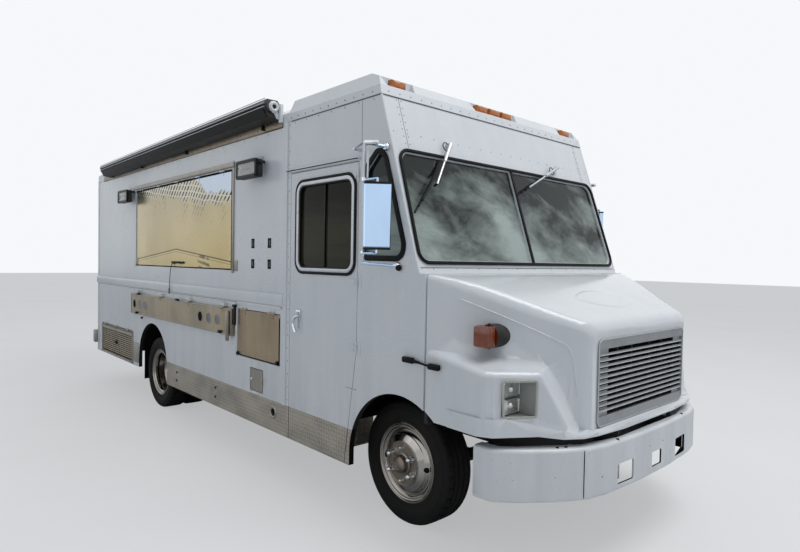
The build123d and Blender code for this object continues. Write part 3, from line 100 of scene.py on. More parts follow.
def tint(code):
    """Linear colour of a six-digit screen colour."""
    parts = [int(code[i:i + 2], 16) / 255 for i in (0, 2, 4)]
    return tuple(c / 12.92 if c <= 0.04045 else ((c + 0.055) / 1.055) ** 2.4 for c in parts)


# Sizes and colours that a user would change

class TruckSizes(bpy.types.PropertyGroup):
    rivet_radius: FloatProperty(name="Rivet radius", description="Radius of a rivet head", default=0.006,
                                unit="LENGTH")
    rivet_pitch: FloatProperty(name="Rivet pitch", description="Distance between rivets along a seam",
                               default=0.1, unit="LENGTH")
    seal_width: FloatProperty(name="Window seal", description="Width of the rubber round the windscreen",
                              default=0.022, unit="LENGTH")
    seam_width: FloatProperty(name="Seam width", description="Width of a sealed seam between two sheets",
                              default=0.003, unit="LENGTH")
    tread_depth: FloatProperty(name="Tread depth", description="Depth of the grooves in the tyres",
                               default=0.009, unit="LENGTH")
    plate_pitch: FloatProperty(name="Tread plate pitch",
                               description="Distance between the lugs of the tread plate", default=0.03,
                               unit="LENGTH")
    tyre_steps: IntProperty(name="Tyre steps", description="Divisions round a tyre", default=144, min=48,
                            max=288)


def colour(name, code, description):
    return FloatVectorProperty(name=name, description=description, subtype="COLOR", size=3, min=0, max=1,
                               default=tint(code))


class TruckColours(bpy.types.PropertyGroup):
    paint: colour("Body paint", "E2E5E8", "White enamel of the body")
    dust: colour("Dust", "8F8577", "Road dust low on the body")
    plate: colour("Tread plate", "B0A99E", "Aluminium tread plate")
    hatch: colour("Serving hatch", "CDBB8F", "Bright sheet of the serving hatch")
    shelf: colour("Drop shelf", "B4A68F", "Sheet of the drop shelf")
    panel: colour("Access panel", "AD9B82", "Sheet of the access panel")
    rail: colour("Roof rail", "9A8F80", "Aluminium rail under the awning")
    grille: colour("Grille", "9FA2A5", "Silver paint of the grille")
    awning: colour("Awning", "2B2A29", "Cloth of the rolled awning")
    glass: colour("Window glass", "1A2421", "Tinted safety glass")
    amber: colour("Amber lens", "C8701C", "Marker and signal lenses")
    rubber: colour("Rubber", "0B0C0E", "Seals and trims")
    tyre: colour("Tyre", "0E0F11", "Tyre rubber")


class TruckStage(bpy.types.PropertyGroup):
    lens: FloatProperty(name="Lens", description="Focal length on a 36 mm wide sensor, in millimetres",
                        default=25.99)
    key_power: FloatProperty(name="Key light", description="Power of the large light over the front",
                             default=560, subtype="POWER")
    fill_power: FloatProperty(name="Fill light", description="Power of the light on the serving side",
                              default=50, subtype="POWER")
    sky_strength: FloatProperty(name="Sky strength", description="Strength of the soft light from all sides",
                                default=0.39)


# Shader maths

class Value:
    """One output of a material's nodes, on which Python's operators add Math nodes."""

    def __init__(self, paint, socket):
        self.paint, self.socket = paint, socket

    def math(self, operation, *others):
        return self.paint.node("Math", {"operation": operation}, self, *others)

    def __add__(self, other):
        return self.math("ADD", other)

    def __sub__(self, other):
        return self.math("SUBTRACT", other)

    def __rsub__(self, other):
        return self.paint.node("Math", {"operation": "SUBTRACT"}, other, self)

    def __mul__(self, other):
        return self.math("MULTIPLY", other)

    def __truediv__(self, other):
        return self.math("DIVIDE", other)

    def __gt__(self, other):
        return self.math("GREATER_THAN", other)

    def __lt__(self, other):
        return self.math("LESS_THAN", other)

    def __abs__(self):
        return self.math("ABSOLUTE")

    __radd__, __rmul__ = __add__, __mul__


class Paint:
    """One procedural material, built round its Principled shader."""

    def __init__(self, name, **constants):
        self.material = bpy.data.materials.new(name)
        self.material.use_nodes = True
        self.tree = self.material.node_tree
        self.shader = self.tree.nodes["Principled BSDF"]
        self.place = self.node("TexCoord", output="Object")
        axes = self.node("SeparateXYZ", None, self.place)
        self.x, self.y, self.z = (Value(self, axes.socket.node.outputs[i]) for i in range(3))
        self.set(**constants)

    def node(self, kind, settings=None, *values, output=0, **named):
        """Adds a node with its settings, fills its sockets, and gives one output."""
        node = self.tree.nodes.new("ShaderNode" + kind)
        for key, value in (settings or {}).items():
            if key == "stops":
                ends = node.color_ramp.elements[0], node.color_ramp.elements[1]
                for stop, (place, shade) in zip(ends, value):
                    stop.position, stop.color = place, (*shade, 1)
            else:
                setattr(node, key, value)
        for socket, value in [*enumerate(values), *((k.replace("_", " "), v) for k, v in named.items())]:
            self.fill(node.inputs[socket], value)
        return Value(self, node.outputs[output])

    def fill(self, socket, value):
        """Links a value to a socket, or sets it there."""
        if isinstance(value, Value):
            self.tree.links.new(value.socket, socket)
        elif isinstance(value, tuple) and len(value) == 3 and socket.type == "RGBA":
            socket.default_value = (*value, 1)
        else:
            socket.default_value = value

    def set(self, **sockets):
        for name, value in sockets.items():
            self.fill(self.shader.inputs[name.replace("_", " ")], value)

    def noise(self, scale, detail=2.0, stretch=(1, 1, 1), offset=(0, 0, 0), roughness=0.5):
        """Soft noise over the object, stretched along its axes."""
        spot = self.node("Mapping", None, self.place, offset, (0, 0, 0), stretch)
        return self.node("TexNoise", None, Vector=spot, Scale=scale, Detail=detail, Roughness=roughness)

    def ramp(self, value, low, high, start=0.0, end=1.0):
        """Value taken from between low and high to between start and end."""
        return self.node("MapRange", {"clamp": True}, value, low, high, start, end)

    def blend(self, mask, first, second):
        """Mix of two colours."""
        node = self.node("Mix", {"data_type": "RGBA", "clamp_factor": True}, output=2)
        for index, value in ((0, mask), (6, first), (7, second)):
            self.fill(node.socket.node.inputs[index], value)
        return node

    def pick(self, mask, first, second):
        """Mix of two numbers."""
        if isinstance(second, Value):
            return first + (second - first) * mask
        return first + mask * (second - first)

    def bump(self, height, strength=0.4, distance=0.002):
        """Relief from a height in metres or a plain number."""
        self.set(Normal=self.node("Bump", None, Strength=strength, Distance=distance, Height=height))


def mottled(name, shade, metallic=0.0, rough=0.5, vary=0.12, scale=3.0, grain=60.0, relief=0.15,
            stretch=(1, 1, 1), coat=0.0, depth=0.0006, shine=0.5):
    """Plain finish whose colour, gloss and surface wander a little."""
    paint = Paint(name, Metallic=metallic, Coat_Weight=coat, Specular_IOR_Level=shine)
    cloud = paint.noise(scale, 4, stretch)
    fine = paint.noise(grain, 3, stretch, (0.3, 0.7, 0.1))
    low, high = tuple(c * (1 - vary) for c in shade), tuple(min(1, c * (1 + vary)) for c in shade)
    paint.set(Base_Color=paint.blend(paint.ramp(cloud, 0.3, 0.7), low, high))
    smooth = max(0.02, rough - 0.12 * rough - 0.02)
    paint.set(Roughness=paint.ramp(fine * 0.5 + cloud * 0.5, 0.3, 0.7, smooth, rough + 0.08))
    paint.bump(fine, relief, depth)
    return paint


def enamel(name, colours, dust=0.5, chips=0.0, gloss=0.28, plate_below=0.0, pitch=0.03, parts=()):
    """White body paint with streaks and dust, tread plate below a height, and other tones where masked."""
    paint = Paint(name, Coat_Weight=0.25, Coat_Roughness=0.12)
    cloud = paint.noise(0.9, 5)
    streak = paint.noise(5.0, 4, (1.6, 1.6, 0.12))
    speck = paint.noise(140, 2)
    base = tuple(colours.paint)
    worn = tuple(c * k for c, k in zip(base, (0.91, 0.925, 0.945)))
    shade = paint.blend(paint.ramp(cloud * 0.5 + streak * 0.5, 0.42, 0.72), base, worn)
    low = paint.ramp(paint.z, 0.35, 1.25, 1, 0)
    grime = low * paint.ramp(streak + speck * 0.4, 0.5, 0.95) * (0.55 * dust)
    grime = grime + paint.ramp(speck * cloud, 0.3, 0.42) * (0.1 * dust)
    shade = paint.blend(grime, shade, tuple(colours.dust))
    rough = paint.ramp(cloud + speck * 0.3, 0.4, 0.95, gloss - 0.06, gloss + 0.14) + grime * 0.3
    metal = 0.0
    height = cloud * 0.6 + paint.noise(420, 1) * 0.03
    if chips:
        nick = (paint.noise(26, 6, (1, 1, 1.4), (4.1, 2.2, 0.6), 0.7) > (0.74 - 0.06 * chips)) * 1.0
        shade = paint.blend(nick, shade, tint("3A3733"))
        rough = rough + nick * 0.3
        height = height - nick * 0.3
    if plate_below:
        mask = paint.z < plate_below
        plate_shade, plate_rough, lugs = tread_plate_look(paint, colours, pitch)
        shade = paint.blend(mask, shade, plate_shade)
        rough = rough + (plate_rough - rough) * mask
        metal = mask * 0.85
        height = height + (lugs - height) * mask
    for where, tone, part_rough in parts:
        mask = where(paint)
        shade = paint.blend(mask, shade, tone)
        rough = rough + (part_rough - rough) * mask
    paint.set(Base_Color=shade, Roughness=rough, Metallic=metal)
    paint.bump(height, 0.35 if plate_below else 0.12, 0.004 if plate_below else 0.01)
    return paint


def inside_arch(x, z, radius):
    """Mask of the reveal of a wheel arch, which is painted dark as painted shade."""
    def where(paint):
        over, up = paint.x - (x + AXLE_X), paint.z - z
        rise = up.math("MAXIMUM", 0.0)
        return (over * over + rise * rise) < (radius + 0.0006) ** 2
    return where


def near(x0, x1, z0, z1):
    """Mask of the right wall's hinge barrels in a rectangle."""
    def where(paint):
        level = (paint.z > z0) * (paint.z < z1)
        return (paint.y < -SIDE - 0.001) * (paint.x > x0 + AXLE_X) * (paint.x < x1 + AXLE_X) * level
    return where


def tread_plate_look(paint, colours, pitch):
    """Colour, roughness and height of aluminium tread plate with crossed lugs."""
    normal = paint.node("NewGeometry", output="True Normal")
    parts = paint.node("SeparateXYZ", None, normal)
    across = abs(Value(paint, parts.socket.node.outputs[1])) > 0.5
    level = abs(Value(paint, parts.socket.node.outputs[2])) > 0.5
    u = (paint.x * across + paint.y * (1 - across)) / pitch + 0.11
    v = (paint.x * level + paint.z * (1 - level)) / pitch + 0.23
    odd = (u.math("FLOOR") + v.math("FLOOR")).math("PINGPONG", 1.0)
    turn = odd * 2 - 1
    fu, fv = u.math("FRACT") - 0.5, v.math("FRACT") - 0.5
    lug = 1 - (abs(fu * turn + fv) / 0.86 + abs(fu * turn - fv) / 0.2)
    lug = paint.ramp(lug, 0.0, 0.5)
    grime = paint.noise(3.5, 5, (1, 1, 1.5))
    base = tuple(colours.plate)
    dull = paint.blend(paint.ramp(grime, 0.35, 0.7), tuple(c * 0.72 for c in base), base)
    shade = paint.blend(lug * 0.75, dull, tuple(min(1, c * 1.55) for c in base))
    return shade, paint.ramp(grime, 0.3, 0.7, 0.32, 0.55) - lug * 0.12, lug


def tread_plate(name, colours, pitch):
    paint = Paint(name, Metallic=0.85)
    shade, rough, lug = tread_plate_look(paint, colours, pitch)
    paint.set(Base_Color=shade, Roughness=rough)
    paint.bump(lug, 0.5, 0.004)
    return paint


def hatch_sheet_and_painted_reflections(name, colours):
    """Quilted bright sheet whose colour is mostly painted reflection: painted sky reflection near its top, a
    pale reflected band with slanted dark reflected marks of the quilting, warm and cool reflected tones, and
    painted shade along a folded stiffener near its foot, with painted light below the fold.
    """
    paint = Paint(name, Metallic=0.85)
    x, z = paint.x - AXLE_X, paint.z
    sway = paint.noise(1.3, 3, (1, 1, 0.7))
    shake = paint.noise(7.0, 2, (1, 1, 0.6), (0.2, 0, 0.9))
    base = tuple(colours.hatch)
    scale = abs(((x - z * 0.95) / 0.076 + sway * 2.2 + shake * 0.35).math("FRACT") - 0.5)
    tier = abs((z / 0.058 + x * 2.1 + shake * 0.5 + sway * 1.5).math("FRACT") - 0.5)
    # dark slanted marks: painted reflections of the quilting, shown mostly inside the reflected band
    reflected_mark = paint.ramp(scale, 0.16, 0.26, 1, 0) * paint.ramp(tier, 0.33, 0.46, 1, 0)
    streak = abs(((x - z * 0.5) / 0.037 + sway * 3.0).math("FRACT") - 0.5)
    foot = (2.395 - (x + 3.7).math("MAXIMUM", 0.0) * 0.13).math("MAXIMUM", 2.245)
    head = (2.56 - (x + 2.98).math("MAXIMUM", 0.0) * 0.6).math("MAXIMUM", 2.335)
    wander = (shake - 0.5) * 0.12
    # painted reflection of the sky above a wavering line near the top, and a pale painted reflection in a
    # band below it
    sky = paint.ramp(z + wander - head, -0.015, 0.03)
    reflected_band = paint.ramp(z + wander - foot, -0.03, 0.045) * (1 - sky)
    # warm and cool tones: painted reflection, warmer low down and towards the front
    warm_reflection = paint.ramp(z, 1.62, 2.25, 1, 0) * paint.ramp(x, -4.4, -2.6, 0.35, 1)
    cool_reflection_tone, warm_reflection_tone = (tuple(c * k for c, k in zip(base, by))
                            for by in ((0.84, 0.87, 0.98), (1.1, 1.06, 0.82)))
    shade = paint.blend(warm_reflection, cool_reflection_tone, warm_reflection_tone)
    shade = paint.blend(paint.ramp(streak, 0.0, 0.3, 0.3, 0) + paint.ramp(sway, 0.35, 0.65) * 0.12, shade,
                        tint("8E8468"))
    shade = paint.blend(reflected_band * 0.45, shade, tint("DDE0D6"))
    shade = paint.blend(sky * 0.92, shade, tint("C3D0E2"))
    # stray dark marks below the band: more painted reflections of the quilting
    stray_reflected_mark = reflected_mark * paint.ramp(z + wander - foot, -0.22, 0.0) * (1 - sky) * paint.ramp(shake, 0.5, 0.62) * 0.5
    shade = paint.blend(reflected_mark * reflected_band * paint.ramp(shake, 0.3, 0.5, 0.7, 1.0) + stray_reflected_mark, shade, tint("0E1010"))
    middle = 1.818 - abs(x + 3.36) * 0.094
    # dark lines along the stiffener's fold: painted shade in its crease
    fold_shade = paint.ramp(abs(z - middle), 0.004, 0.009, 1, 0)
    fold_shade = fold_shade + paint.ramp(abs(z - middle + 0.026), 0.002, 0.005, 0.6, 0)
    below = paint.ramp(z - middle, -0.01, 0.01, 1, 0)
    reflected_dots = below * paint.ramp(shake, 0.56, 0.62) * paint.ramp(x, -3.3, -2.6)
    reflected_dots = reflected_dots * paint.ramp(tier, 0.15, 0.3, 1, 0)
    # sheet below the fold painted lighter as painted light, and dark dots there as painted reflections of the
    # quilting
    shade = paint.blend(below * 0.22, shade, tint("DCCB93"))
    shade = paint.blend(fold_shade * 0.8 + reflected_dots * 0.8, shade, tint("3A3022"))
    paint.set(Base_Color=shade, Roughness=paint.ramp(sway, 0.3, 0.7, 0.2, 0.34))
    paint.bump(scale * 0.5 + shake, 0.3, 0.005)
    return paint


def brushed(name, shade, rough=0.34, along=(2, 2, 60), wear=0.2):
    """Sheet metal with a fine brushed grain and cloudy stains."""
    paint = Paint(name, Metallic=0.9)
    grain = paint.noise(18, 3, along)
    stain = paint.noise(2.4, 5)
    drip = paint.noise(7, 3, (2, 2, 0.2))
    dull = tuple(c * (1 - wear) for c in shade)
    base = paint.blend(paint.ramp(stain * 0.6 + drip * 0.4, 0.4, 0.62), dull, tuple(shade))
    paint.set(Base_Color=base, Roughness=paint.ramp(grain * 0.5 + stain * 0.5, 0.35, 0.65, rough - 0.08,
                                                    rough + 0.14))
    paint.bump(grain, 0.08, 0.001)
    return paint


def window_glass(name, shade, reflection_tone, alpha, reflection_strength=0.35, shine=0.5):
    """Tinted glass whose colour and alpha carry a painted reflection of soft clouds, a little stronger lower
    down.
    """
    paint = Paint(name, IOR=1.45, Specular_IOR_Level=shine)
    turned = paint.node("CombineXYZ", None, paint.x * 0.3 + 1.7, paint.y * 0.75 - paint.z * 0.55,
                        paint.z * 1.7 + paint.y * 0.7)
    cloud = paint.node("TexNoise", None, Vector=turned, Scale=1.15, Detail=5.0, Roughness=0.58,
                       Distortion=0.35)
    wisp_reflection = paint.node("TexNoise", None, Vector=turned, Scale=3.1, Detail=6.0, Roughness=0.6, Distortion=0.6)
    low = paint.ramp(paint.z, 1.75, 2.35, 0.07, -0.04)
    # painted reflection of clouds in the glass's colour and alpha
    cloud_reflection = paint.ramp(cloud * 0.7 + wisp_reflection * 0.3 + low, 0.42, 0.64)
    smear = paint.noise(60, 2, (1, 1, 3))
    paint.set(Base_Color=paint.blend(cloud_reflection * reflection_strength, tuple(shade), reflection_tone))
    paint.set(Roughness=paint.ramp(smear, 0.3, 0.8, 0.02, 0.08))
    paint.set(Alpha=paint.ramp(cloud_reflection, 0, 1, alpha, min(1, alpha + 0.12)))
    return paint


def lens(name, shade, pitch, rough=0.12, alpha=1.0):
    """Moulded lamp lens with fine flutes."""
    paint = Paint(name, Coat_Weight=0.5, Coat_Roughness=0.04, Alpha=alpha)
    flute = (paint.y / pitch).math("FRACT") + (paint.z / pitch).math("FRACT") * 0.6
    cloud = paint.noise(40, 2)
    paint.set(Base_Color=paint.blend(paint.ramp(cloud, 0.3, 0.7), tuple(c * 0.75 for c in shade),
                                     tuple(shade)))
    paint.set(Roughness=paint.ramp(cloud, 0.3, 0.7, rough * 0.7, rough * 1.6))
    paint.bump(flute, 0.35, 0.002)
    return paint


def cloth(name, shade, pitch=0.004):
    """Woven cloth."""
    paint = Paint(name, Sheen_Weight=0.1, Specular_IOR_Level=0.2)
    warp = abs((paint.x / pitch).math("FRACT") - 0.5)
    weft = abs((paint.z / pitch + paint.y / pitch).math("FRACT") - 0.5)
    stain = paint.noise(2.2, 4, (0.4, 1, 2))
    weave = warp + weft
    paint.set(Base_Color=paint.blend(paint.ramp(stain + weave * 0.2, 0.35, 0.75),
                                     tuple(c * 0.7 for c in shade), tuple(min(1, c * 1.35) for c in shade)))
    paint.set(Roughness=paint.ramp(stain, 0.3, 0.7, 0.62, 0.85))
    paint.bump(weave, 0.25, 0.001)
    return paint


def tyre_rubber(name, colours):
    """Black rubber with brown road dust in its lows and on the sidewalls."""
    paint = Paint(name, Specular_IOR_Level=0.16)
    cloud = paint.noise(5, 4)
    fine = paint.noise(180, 3)
    base = tuple(colours.tyre)
    dust = paint.ramp(cloud + fine * 0.35, 0.5, 0.95) * 0.16
    paint.set(Base_Color=paint.blend(dust, base, tint("5B5349")),
              Roughness=paint.ramp(cloud, 0.3, 0.7, 0.6, 0.85))
    paint.bump(fine, 0.25, 0.001)
    return paint


def wheel_metal(name):
    """Polished disc wheel: dull machined centre, bright bowl and a lip in a darker warm grey, whose darker
    tone is painted reflection.
    """
    paint = Paint(name, Metallic=1.0)
    over = (paint.x - AXLE_X) - REAR_X * ((paint.x - AXLE_X) < REAR_X / 2)
    up = paint.z - TYRE_R
    radius = (over * over + up * up).math("SQRT")
    cloud = paint.noise(9, 4)
    turning = abs((radius / 0.0016).math("FRACT") - 0.5)
    centre = paint.ramp(radius, 0.144, 0.148, 1, 0)
    # the lip's darker warm grey is painted reflection
    rim = paint.ramp(radius, 0.208, 0.222)
    shade = paint.blend(rim, tint("ABA8A3"), tint("8F8A84"))
    shade = paint.blend(centre, shade, tint("7E766D"))
    shade = paint.blend(paint.ramp(cloud, 0.42, 0.72) * 0.4, shade, tint("6B6156"))
    paint.set(Base_Color=shade, Roughness=paint.ramp(cloud, 0.3, 0.7, 0.12, 0.2) + centre * 0.16)
    paint.bump(turning * centre + cloud, 0.08, 0.001)
    return paint


def masked(name, parts, rough=0.4, metallic=0.0):
    """Several plain colours on one node, each where its mask says."""
    paint = Paint(name)
    cloud = paint.noise(8, 4)
    shade, gloss, metal = tuple(parts[0][1]), rough, metallic
    for where, tone, part_rough, part_metal in parts[1:]:
        mask = where(paint)
        shade = paint.blend(mask, shade, tuple(tone))
        gloss = paint.pick(mask, gloss, part_rough)
        metal = paint.pick(mask, metal, part_metal)
    shade = paint.blend(paint.ramp(cloud, 0.5, 0.8) * 0.35, shade, tint("6E675C"))
    paint.set(Base_Color=shade, Roughness=gloss + cloud * 0.1, Metallic=metal)
    paint.bump(paint.noise(90, 2), 0.1, 0.001)
    return paint


FINISHES = {}
SLOTS = {}


def keep(name, paint, slot):
    """Keeps a finish under its plain name, with the slot that it belongs to."""
    FINISHES[name], SLOTS[name] = paint.material, slot


# Plain finishes: name, material, colour, slot, then what mottled takes after its shade
PLAIN_FINISHES = (
    ("cap grey", "cap_grey", "7C7C80", "stainless", (0.3, 0.35, 0.25, 12, 60, 0.15), {}),
    ("chrome", "chrome", "D9DCE0", "polished_steel", (1.0, 0.1, 0.05, 3, 40, 0.03), {}),
    # pale sky-blue mirror heads: painted reflection of the sky
    ("mirror sky reflection", "mirror_painted_sky_reflection", "B9D2EE", "polished_steel", (1.0, 0.06, 0.1, 4, 10, 0.05),
     {"stretch": (1, 1, 0.4)}),
    ("bright nuts", "bright_nuts", "E2E3E4", "polished_steel", (1.0, 0.26, 0.06, 30, 80, 0.05), {}),
    ("arm metal", "arm_metal", "C9CCD0", "polished_steel", (0.6, 0.3, 0.08, 6, 60, 0.1), {}),
    ("black plastic", "black_plastic_trim", "121315", "black_plastic", (0, 0.42, 0.2, 5, 110, 0.25),
     {"shine": 0.25}),
    ("liner", "wheel_liner", "0D0D0D", "black_plastic", (0, 0.85, 0.4, 4, 50, 0.5), {"shine": 0.1}),
    # grey rivet heads, darker than the white paint: dirt and painted shade at the rivets
    ("rivet dirt and shade", "rivet_dirt_and_shade", "A3A7AB", "white_paint", (0, 0.4, 0.2, 30, 90, 0.1), {}),
    ("seam", "seam_sealant", "6B6E72", "black_plastic", (0, 0.7, 0.25, 14, 90, 0.2), {}),
    # near-black finish of real joints, gaskets, caps and bolts, and also of painted shade in the hand holes,
    # wall slots, vent, grille gaps and the insides of the hood and bumper
    ("gap and painted shade", "gap_and_painted_shade", "0B0B0C", "black_plastic", (0, 0.8, 0.3, 10, 60, 0.2), {"shine": 0.08}),
    ("grille mesh", "grille_mesh", "1A1B1C", "grille_silver", (0.4, 0.6, 0.3, 30, 120, 0.3), {"shine": 0.2}),
    ("slat edge", "slat_edge", "C9CBCD", "grille_silver", (0.4, 0.3, 0.15, 20, 80, 0.1), {}),
    ("lamp bowl", "lamp_bowl_silver", "D2D3CE", "lamp_bowl", (0.8, 0.16, 0.12, 20, 60, 0.1), {}),
    ("bezel", "lamp_bezel", "B2B2AB", "lamp_bowl", (0.2, 0.45, 0.1, 9, 90, 0.15), {}),
    ("chassis paint", "chassis_paint", "1E1D1C", "chassis_black", (0.1, 0.6, 0.4, 4, 60, 0.3), {}),
    ("castings", "castings", "3B3936", "cast_block", (0.5, 0.65, 0.35, 6, 50, 0.5), {}),
    ("dash", "dash_plastic", "2A2A2C", "black_plastic", (0, 0.6, 0.12, 8, 140, 0.3), {}),
)


def make_finishes(colours, pitch):
    """All the finishes of the vehicle."""
    for name, material, code, slot, values, more in PLAIN_FINISHES:
        keep(name, mottled(material, tint(code), *values, **more), slot)
    # the near-black tone is painted shade, laid on the wheel-arch reveals and on the cab front below the hood
    dark, shade, panel = tint("0C0C0D"), tuple(colours.shelf), tuple(colours.panel)

    def knob(p):
        """Mask of the round ends of the awning's roller."""
        up, out = p.z - AWNING_HUB_Z - (p.x - AXLE_X + 3.43) * AWNING_SLOPE, p.y + SIDE + 0.071
        return (up * up + out * out < 0.0455 ** 2) * (abs(p.x - AXLE_X + 3.431) > 2.1695)

    keep("body paint", enamel("body_paint", colours, 0.45), "white_paint")
    # the rear arch reveal of the wall is painted dark as painted shade; the hinge barrels take the sheet
    # colours of their parts
    keep("wall paint", enamel("wall_paint", colours, 0.45, parts=(
        (inside_arch(REAR_X - 0.035, 0.519, 0.448), dark, 0.9), (near(-4.72, -1.98, 1.27, 1.300), shade, 0.4),
        (near(-1.96, -1.2, 1.27, 1.304), panel, 0.4), (near(-6.05, -4.6, 0.79, 0.826), shade, 0.4),
        (near(-1.515, -1.489, 0.61, 0.82), shade, 0.4))), "white_paint")
    # below the hood the cab front is painted dark as painted shade
    keep("face paint", enamel("face_paint", colours, 0.3, parts=(
        (lambda p: p.z < 0.862, dark, 0.9),)), "white_paint")
    # the front arch reveals of the cab sides and hood are painted dark as painted shade
    keep("lower paint", enamel("lower_paint", colours, 0.6, 0, 0.26, 0.592, pitch, (
        (inside_arch(*FRONT_ARCH), dark, 0.9),)), "white_paint")
    keep("hood paint", enamel("hood_paint", colours, 0.25, 0, 0.2, parts=(
        (inside_arch(*FRONT_ARCH), dark, 0.9),)), "white_paint")
    keep("bumper paint", enamel("bumper_paint", colours, 0.35, 1.0, 0.24), "white_paint")
    keep("roof paint", enamel("roof_paint", colours, 0.9, 0, 0.36), "white_paint")
    keep("tread plate", tread_plate("tread_plate_sheet", colours, pitch), "tread_plate")
    keep("hatch sheet and painted reflections", hatch_sheet_and_painted_reflections("hatch_sheet_and_painted_reflections", colours), "stainless")
    keep("shelf sheet", brushed("shelf_sheet", colours.shelf, 0.34, (60, 2, 2)), "stainless")
    keep("panel sheet", brushed("panel_sheet", colours.panel, 0.3, (2, 2, 60)), "stainless")
    keep("plain sheet", brushed("plain_sheet", tint("A8A49C"), 0.4), "stainless")
    keep("roof rail", brushed("roof_rail", colours.rail, 0.42, (1, 40, 40), 0.35), "stainless")
    keep("wheel polish", wheel_metal("wheel_polish"), "polished_steel")
    keep("rubber", mottled("rubber", colours.rubber, 0, 0.5, 0.25, 6, 90, 0.2, shine=0.14), "black_plastic")
    # the grille is painted dark behind the front of its slats as painted shade
    keep("grille paint and depth shade", masked("grille_paint_and_depth_shade", [
        (None, colours.grille),
        (lambda p: p.x < AXLE_X + 1.1245, tint("1D1F21"), 0.6, 0.1)], 0.34, 0.55), "grille_silver")
    keep("amber lens", lens("amber_lens_moulding", tuple(colours.amber), 0.008), "amber_lens")
    keep("signal lens", lens("signal_lens_moulding", tint("8A3B14"), 0.012), "amber_lens")
    keep("red lens", lens("red_lens_moulding", tint("8E1512"), 0.008), "amber_lens")
    keep("clear lens", lens("clear_lens_moulding", tint("D6D9D4"), 0.014, 0.1, 0.45), "lamp_bowl")
    keep("flood bowl", lens("flood_bowl_facets", tint("D9D8CE"), 0.031, 0.3), "lamp_bowl")
    # both kinds of pane carry a painted reflection of clouds in their colour
    keep("screen glass", window_glass("screen_glass", colours.glass, tint("B5C3BC"), 0.92, 0.85, 0.35),
         "glass")
    keep("door glass", window_glass("door_glass_pane", tint("1A1912"), tint("57523E"), 0.92, 0.4, 0.12),
         "glass")
    keep("awning cloth", cloth("awning_cloth", tuple(colours.awning)), "awning_grey")
    keep("seat cloth", cloth("seat_cloth_weave", tint("2B2C30"), 0.006), "seat_fabric")
    keep("tyre", tyre_rubber("tyre_rubber", colours), "tyre")
    keep("tank metal", brushed("tank_metal", tint("9A9C9E"), 0.45), "tank_aluminium")
    keep("floor metal", tread_plate("floor_metal", colours, pitch * 1.4), "floor_plate")
    keep("vent door", masked("vent_door_parts", [
        (None, tint("7A7266")),
        (lambda p: abs(p.z - 0.606) < 0.166, tint("A59A88"), 0.45, 0.6)], 0.5, 0.5), "tread_plate")
    keep("lamp parts", masked("hood_lamp_parts", [
        (None, tint("9DA09C")),
        (lambda p: p.z > 1.2, tint("08090A"), 0.6, 0.0),
        (lambda p: (p.z > 1.2).math("MULTIPLY", abs(p.y) > 0.9995), tint("6E2E10"), 0.2, 0.0)], 0.45),
        "lamp_bowl")
    keep("body lamps", masked("body_lamp_parts", [
        (None, tuple(colours.amber)),
        (lambda p: p.y < -SIDE + 0.001, tint("C4C8CC"), 0.4, 0.0),
        (lambda p: p.y < -SIDE - 0.053, tint("1A1B1D"), 0.45, 0.0),
        (lambda p: p.x < BACK_X + AXLE_X + 0.001, tint("8E1512"), 0.2, 0.0)], 0.2), "amber_lens")
    keep("awning case", masked("awning_case_parts", [
        (None, tint("2A2724")),
        # the upper band of the case is painted lighter and bluer: a painted highlight from the sky
        (lambda p: (p.z - (p.x - AXLE_X + 3.43) * AWNING_SLOPE) > 2.892, tint("3F4345"), 0.35, 0.3),
        (knob, tint("DADBD8"), 0.35, 0.0)], 0.5, 0.1), "awning_grey")


DRESS = {
    "body paint": ["rear_wall", "rear_door_right", "rear_door_left"],
    "wall paint": ["side_wall_right", "side_wall_left"], "face paint": ["cab_front"],
    "lower paint": ["cab_sides", "door_right", "door_left"], "hood paint": ["hood"],
    "bumper paint": ["front_bumper"], "roof paint": ["box_roof", "cab_roof"],
    "tread plate": ["side_skirts", "rear_bumper"], "vent door": ["vent_door"],
    "hatch sheet and painted reflections": ["serving_hatch"], "shelf sheet": ["drop_shelf"], "panel sheet": ["access_panel"],
    "plain sheet": ["small_hatch"], "mirror sky reflection": ["mirrors"], "liner": ["wheel_wells"],
    "grille paint and depth shade": ["grille"], "lamp parts": ["headlamps"], "body lamps": ["body_lamps"],
    "screen glass": ["fixed_glass"], "door glass": ["door_glass_right", "door_glass_left"],
    "awning case": ["awning"], "seat cloth": ["driver_seat"],
    "chassis paint": ["chassis_frame", "front_axle", "rear_axle"],
    "castings": ["engine_block", "knuckle_right", "knuckle_left"], "tank metal": ["fuel_tank"],
    "floor metal": ["floor"], "dash": ["dashboard"],
    "wheel polish": ["front_rim_right", "front_rim_left", "rear_rims_right", "rear_rims_left"],
    "tyre": ["front_tyre_right", "front_tyre_left", "rear_tyres_right", "rear_tyres_left"],
}


# Shapes

def merged(*shapes):
    """One mesh from several."""
    whole = shapes[0]
    for shape in shapes[1:]:
        mesh = bpy.data.meshes.new("part")
        shape.to_mesh(mesh)
        shape.free()
        whole.from_mesh(mesh)
        bpy.data.meshes.remove(mesh)
    return whole


def soften(shape, amount, steps=2, sharp=0.5):
    """Rounds the edges that are sharper than an angle."""
    shape.normal_update()
    edges = [e for e in shape.edges if len(e.link_faces) == 2 and e.calc_face_angle(0) > sharp]
    bmesh.ops.bevel(shape, geom=edges, offset=amount, offset_type="OFFSET", segments=steps, profile=0.5,
                    affect="EDGES", clamp_overlap=True, material=-1)
    return shape


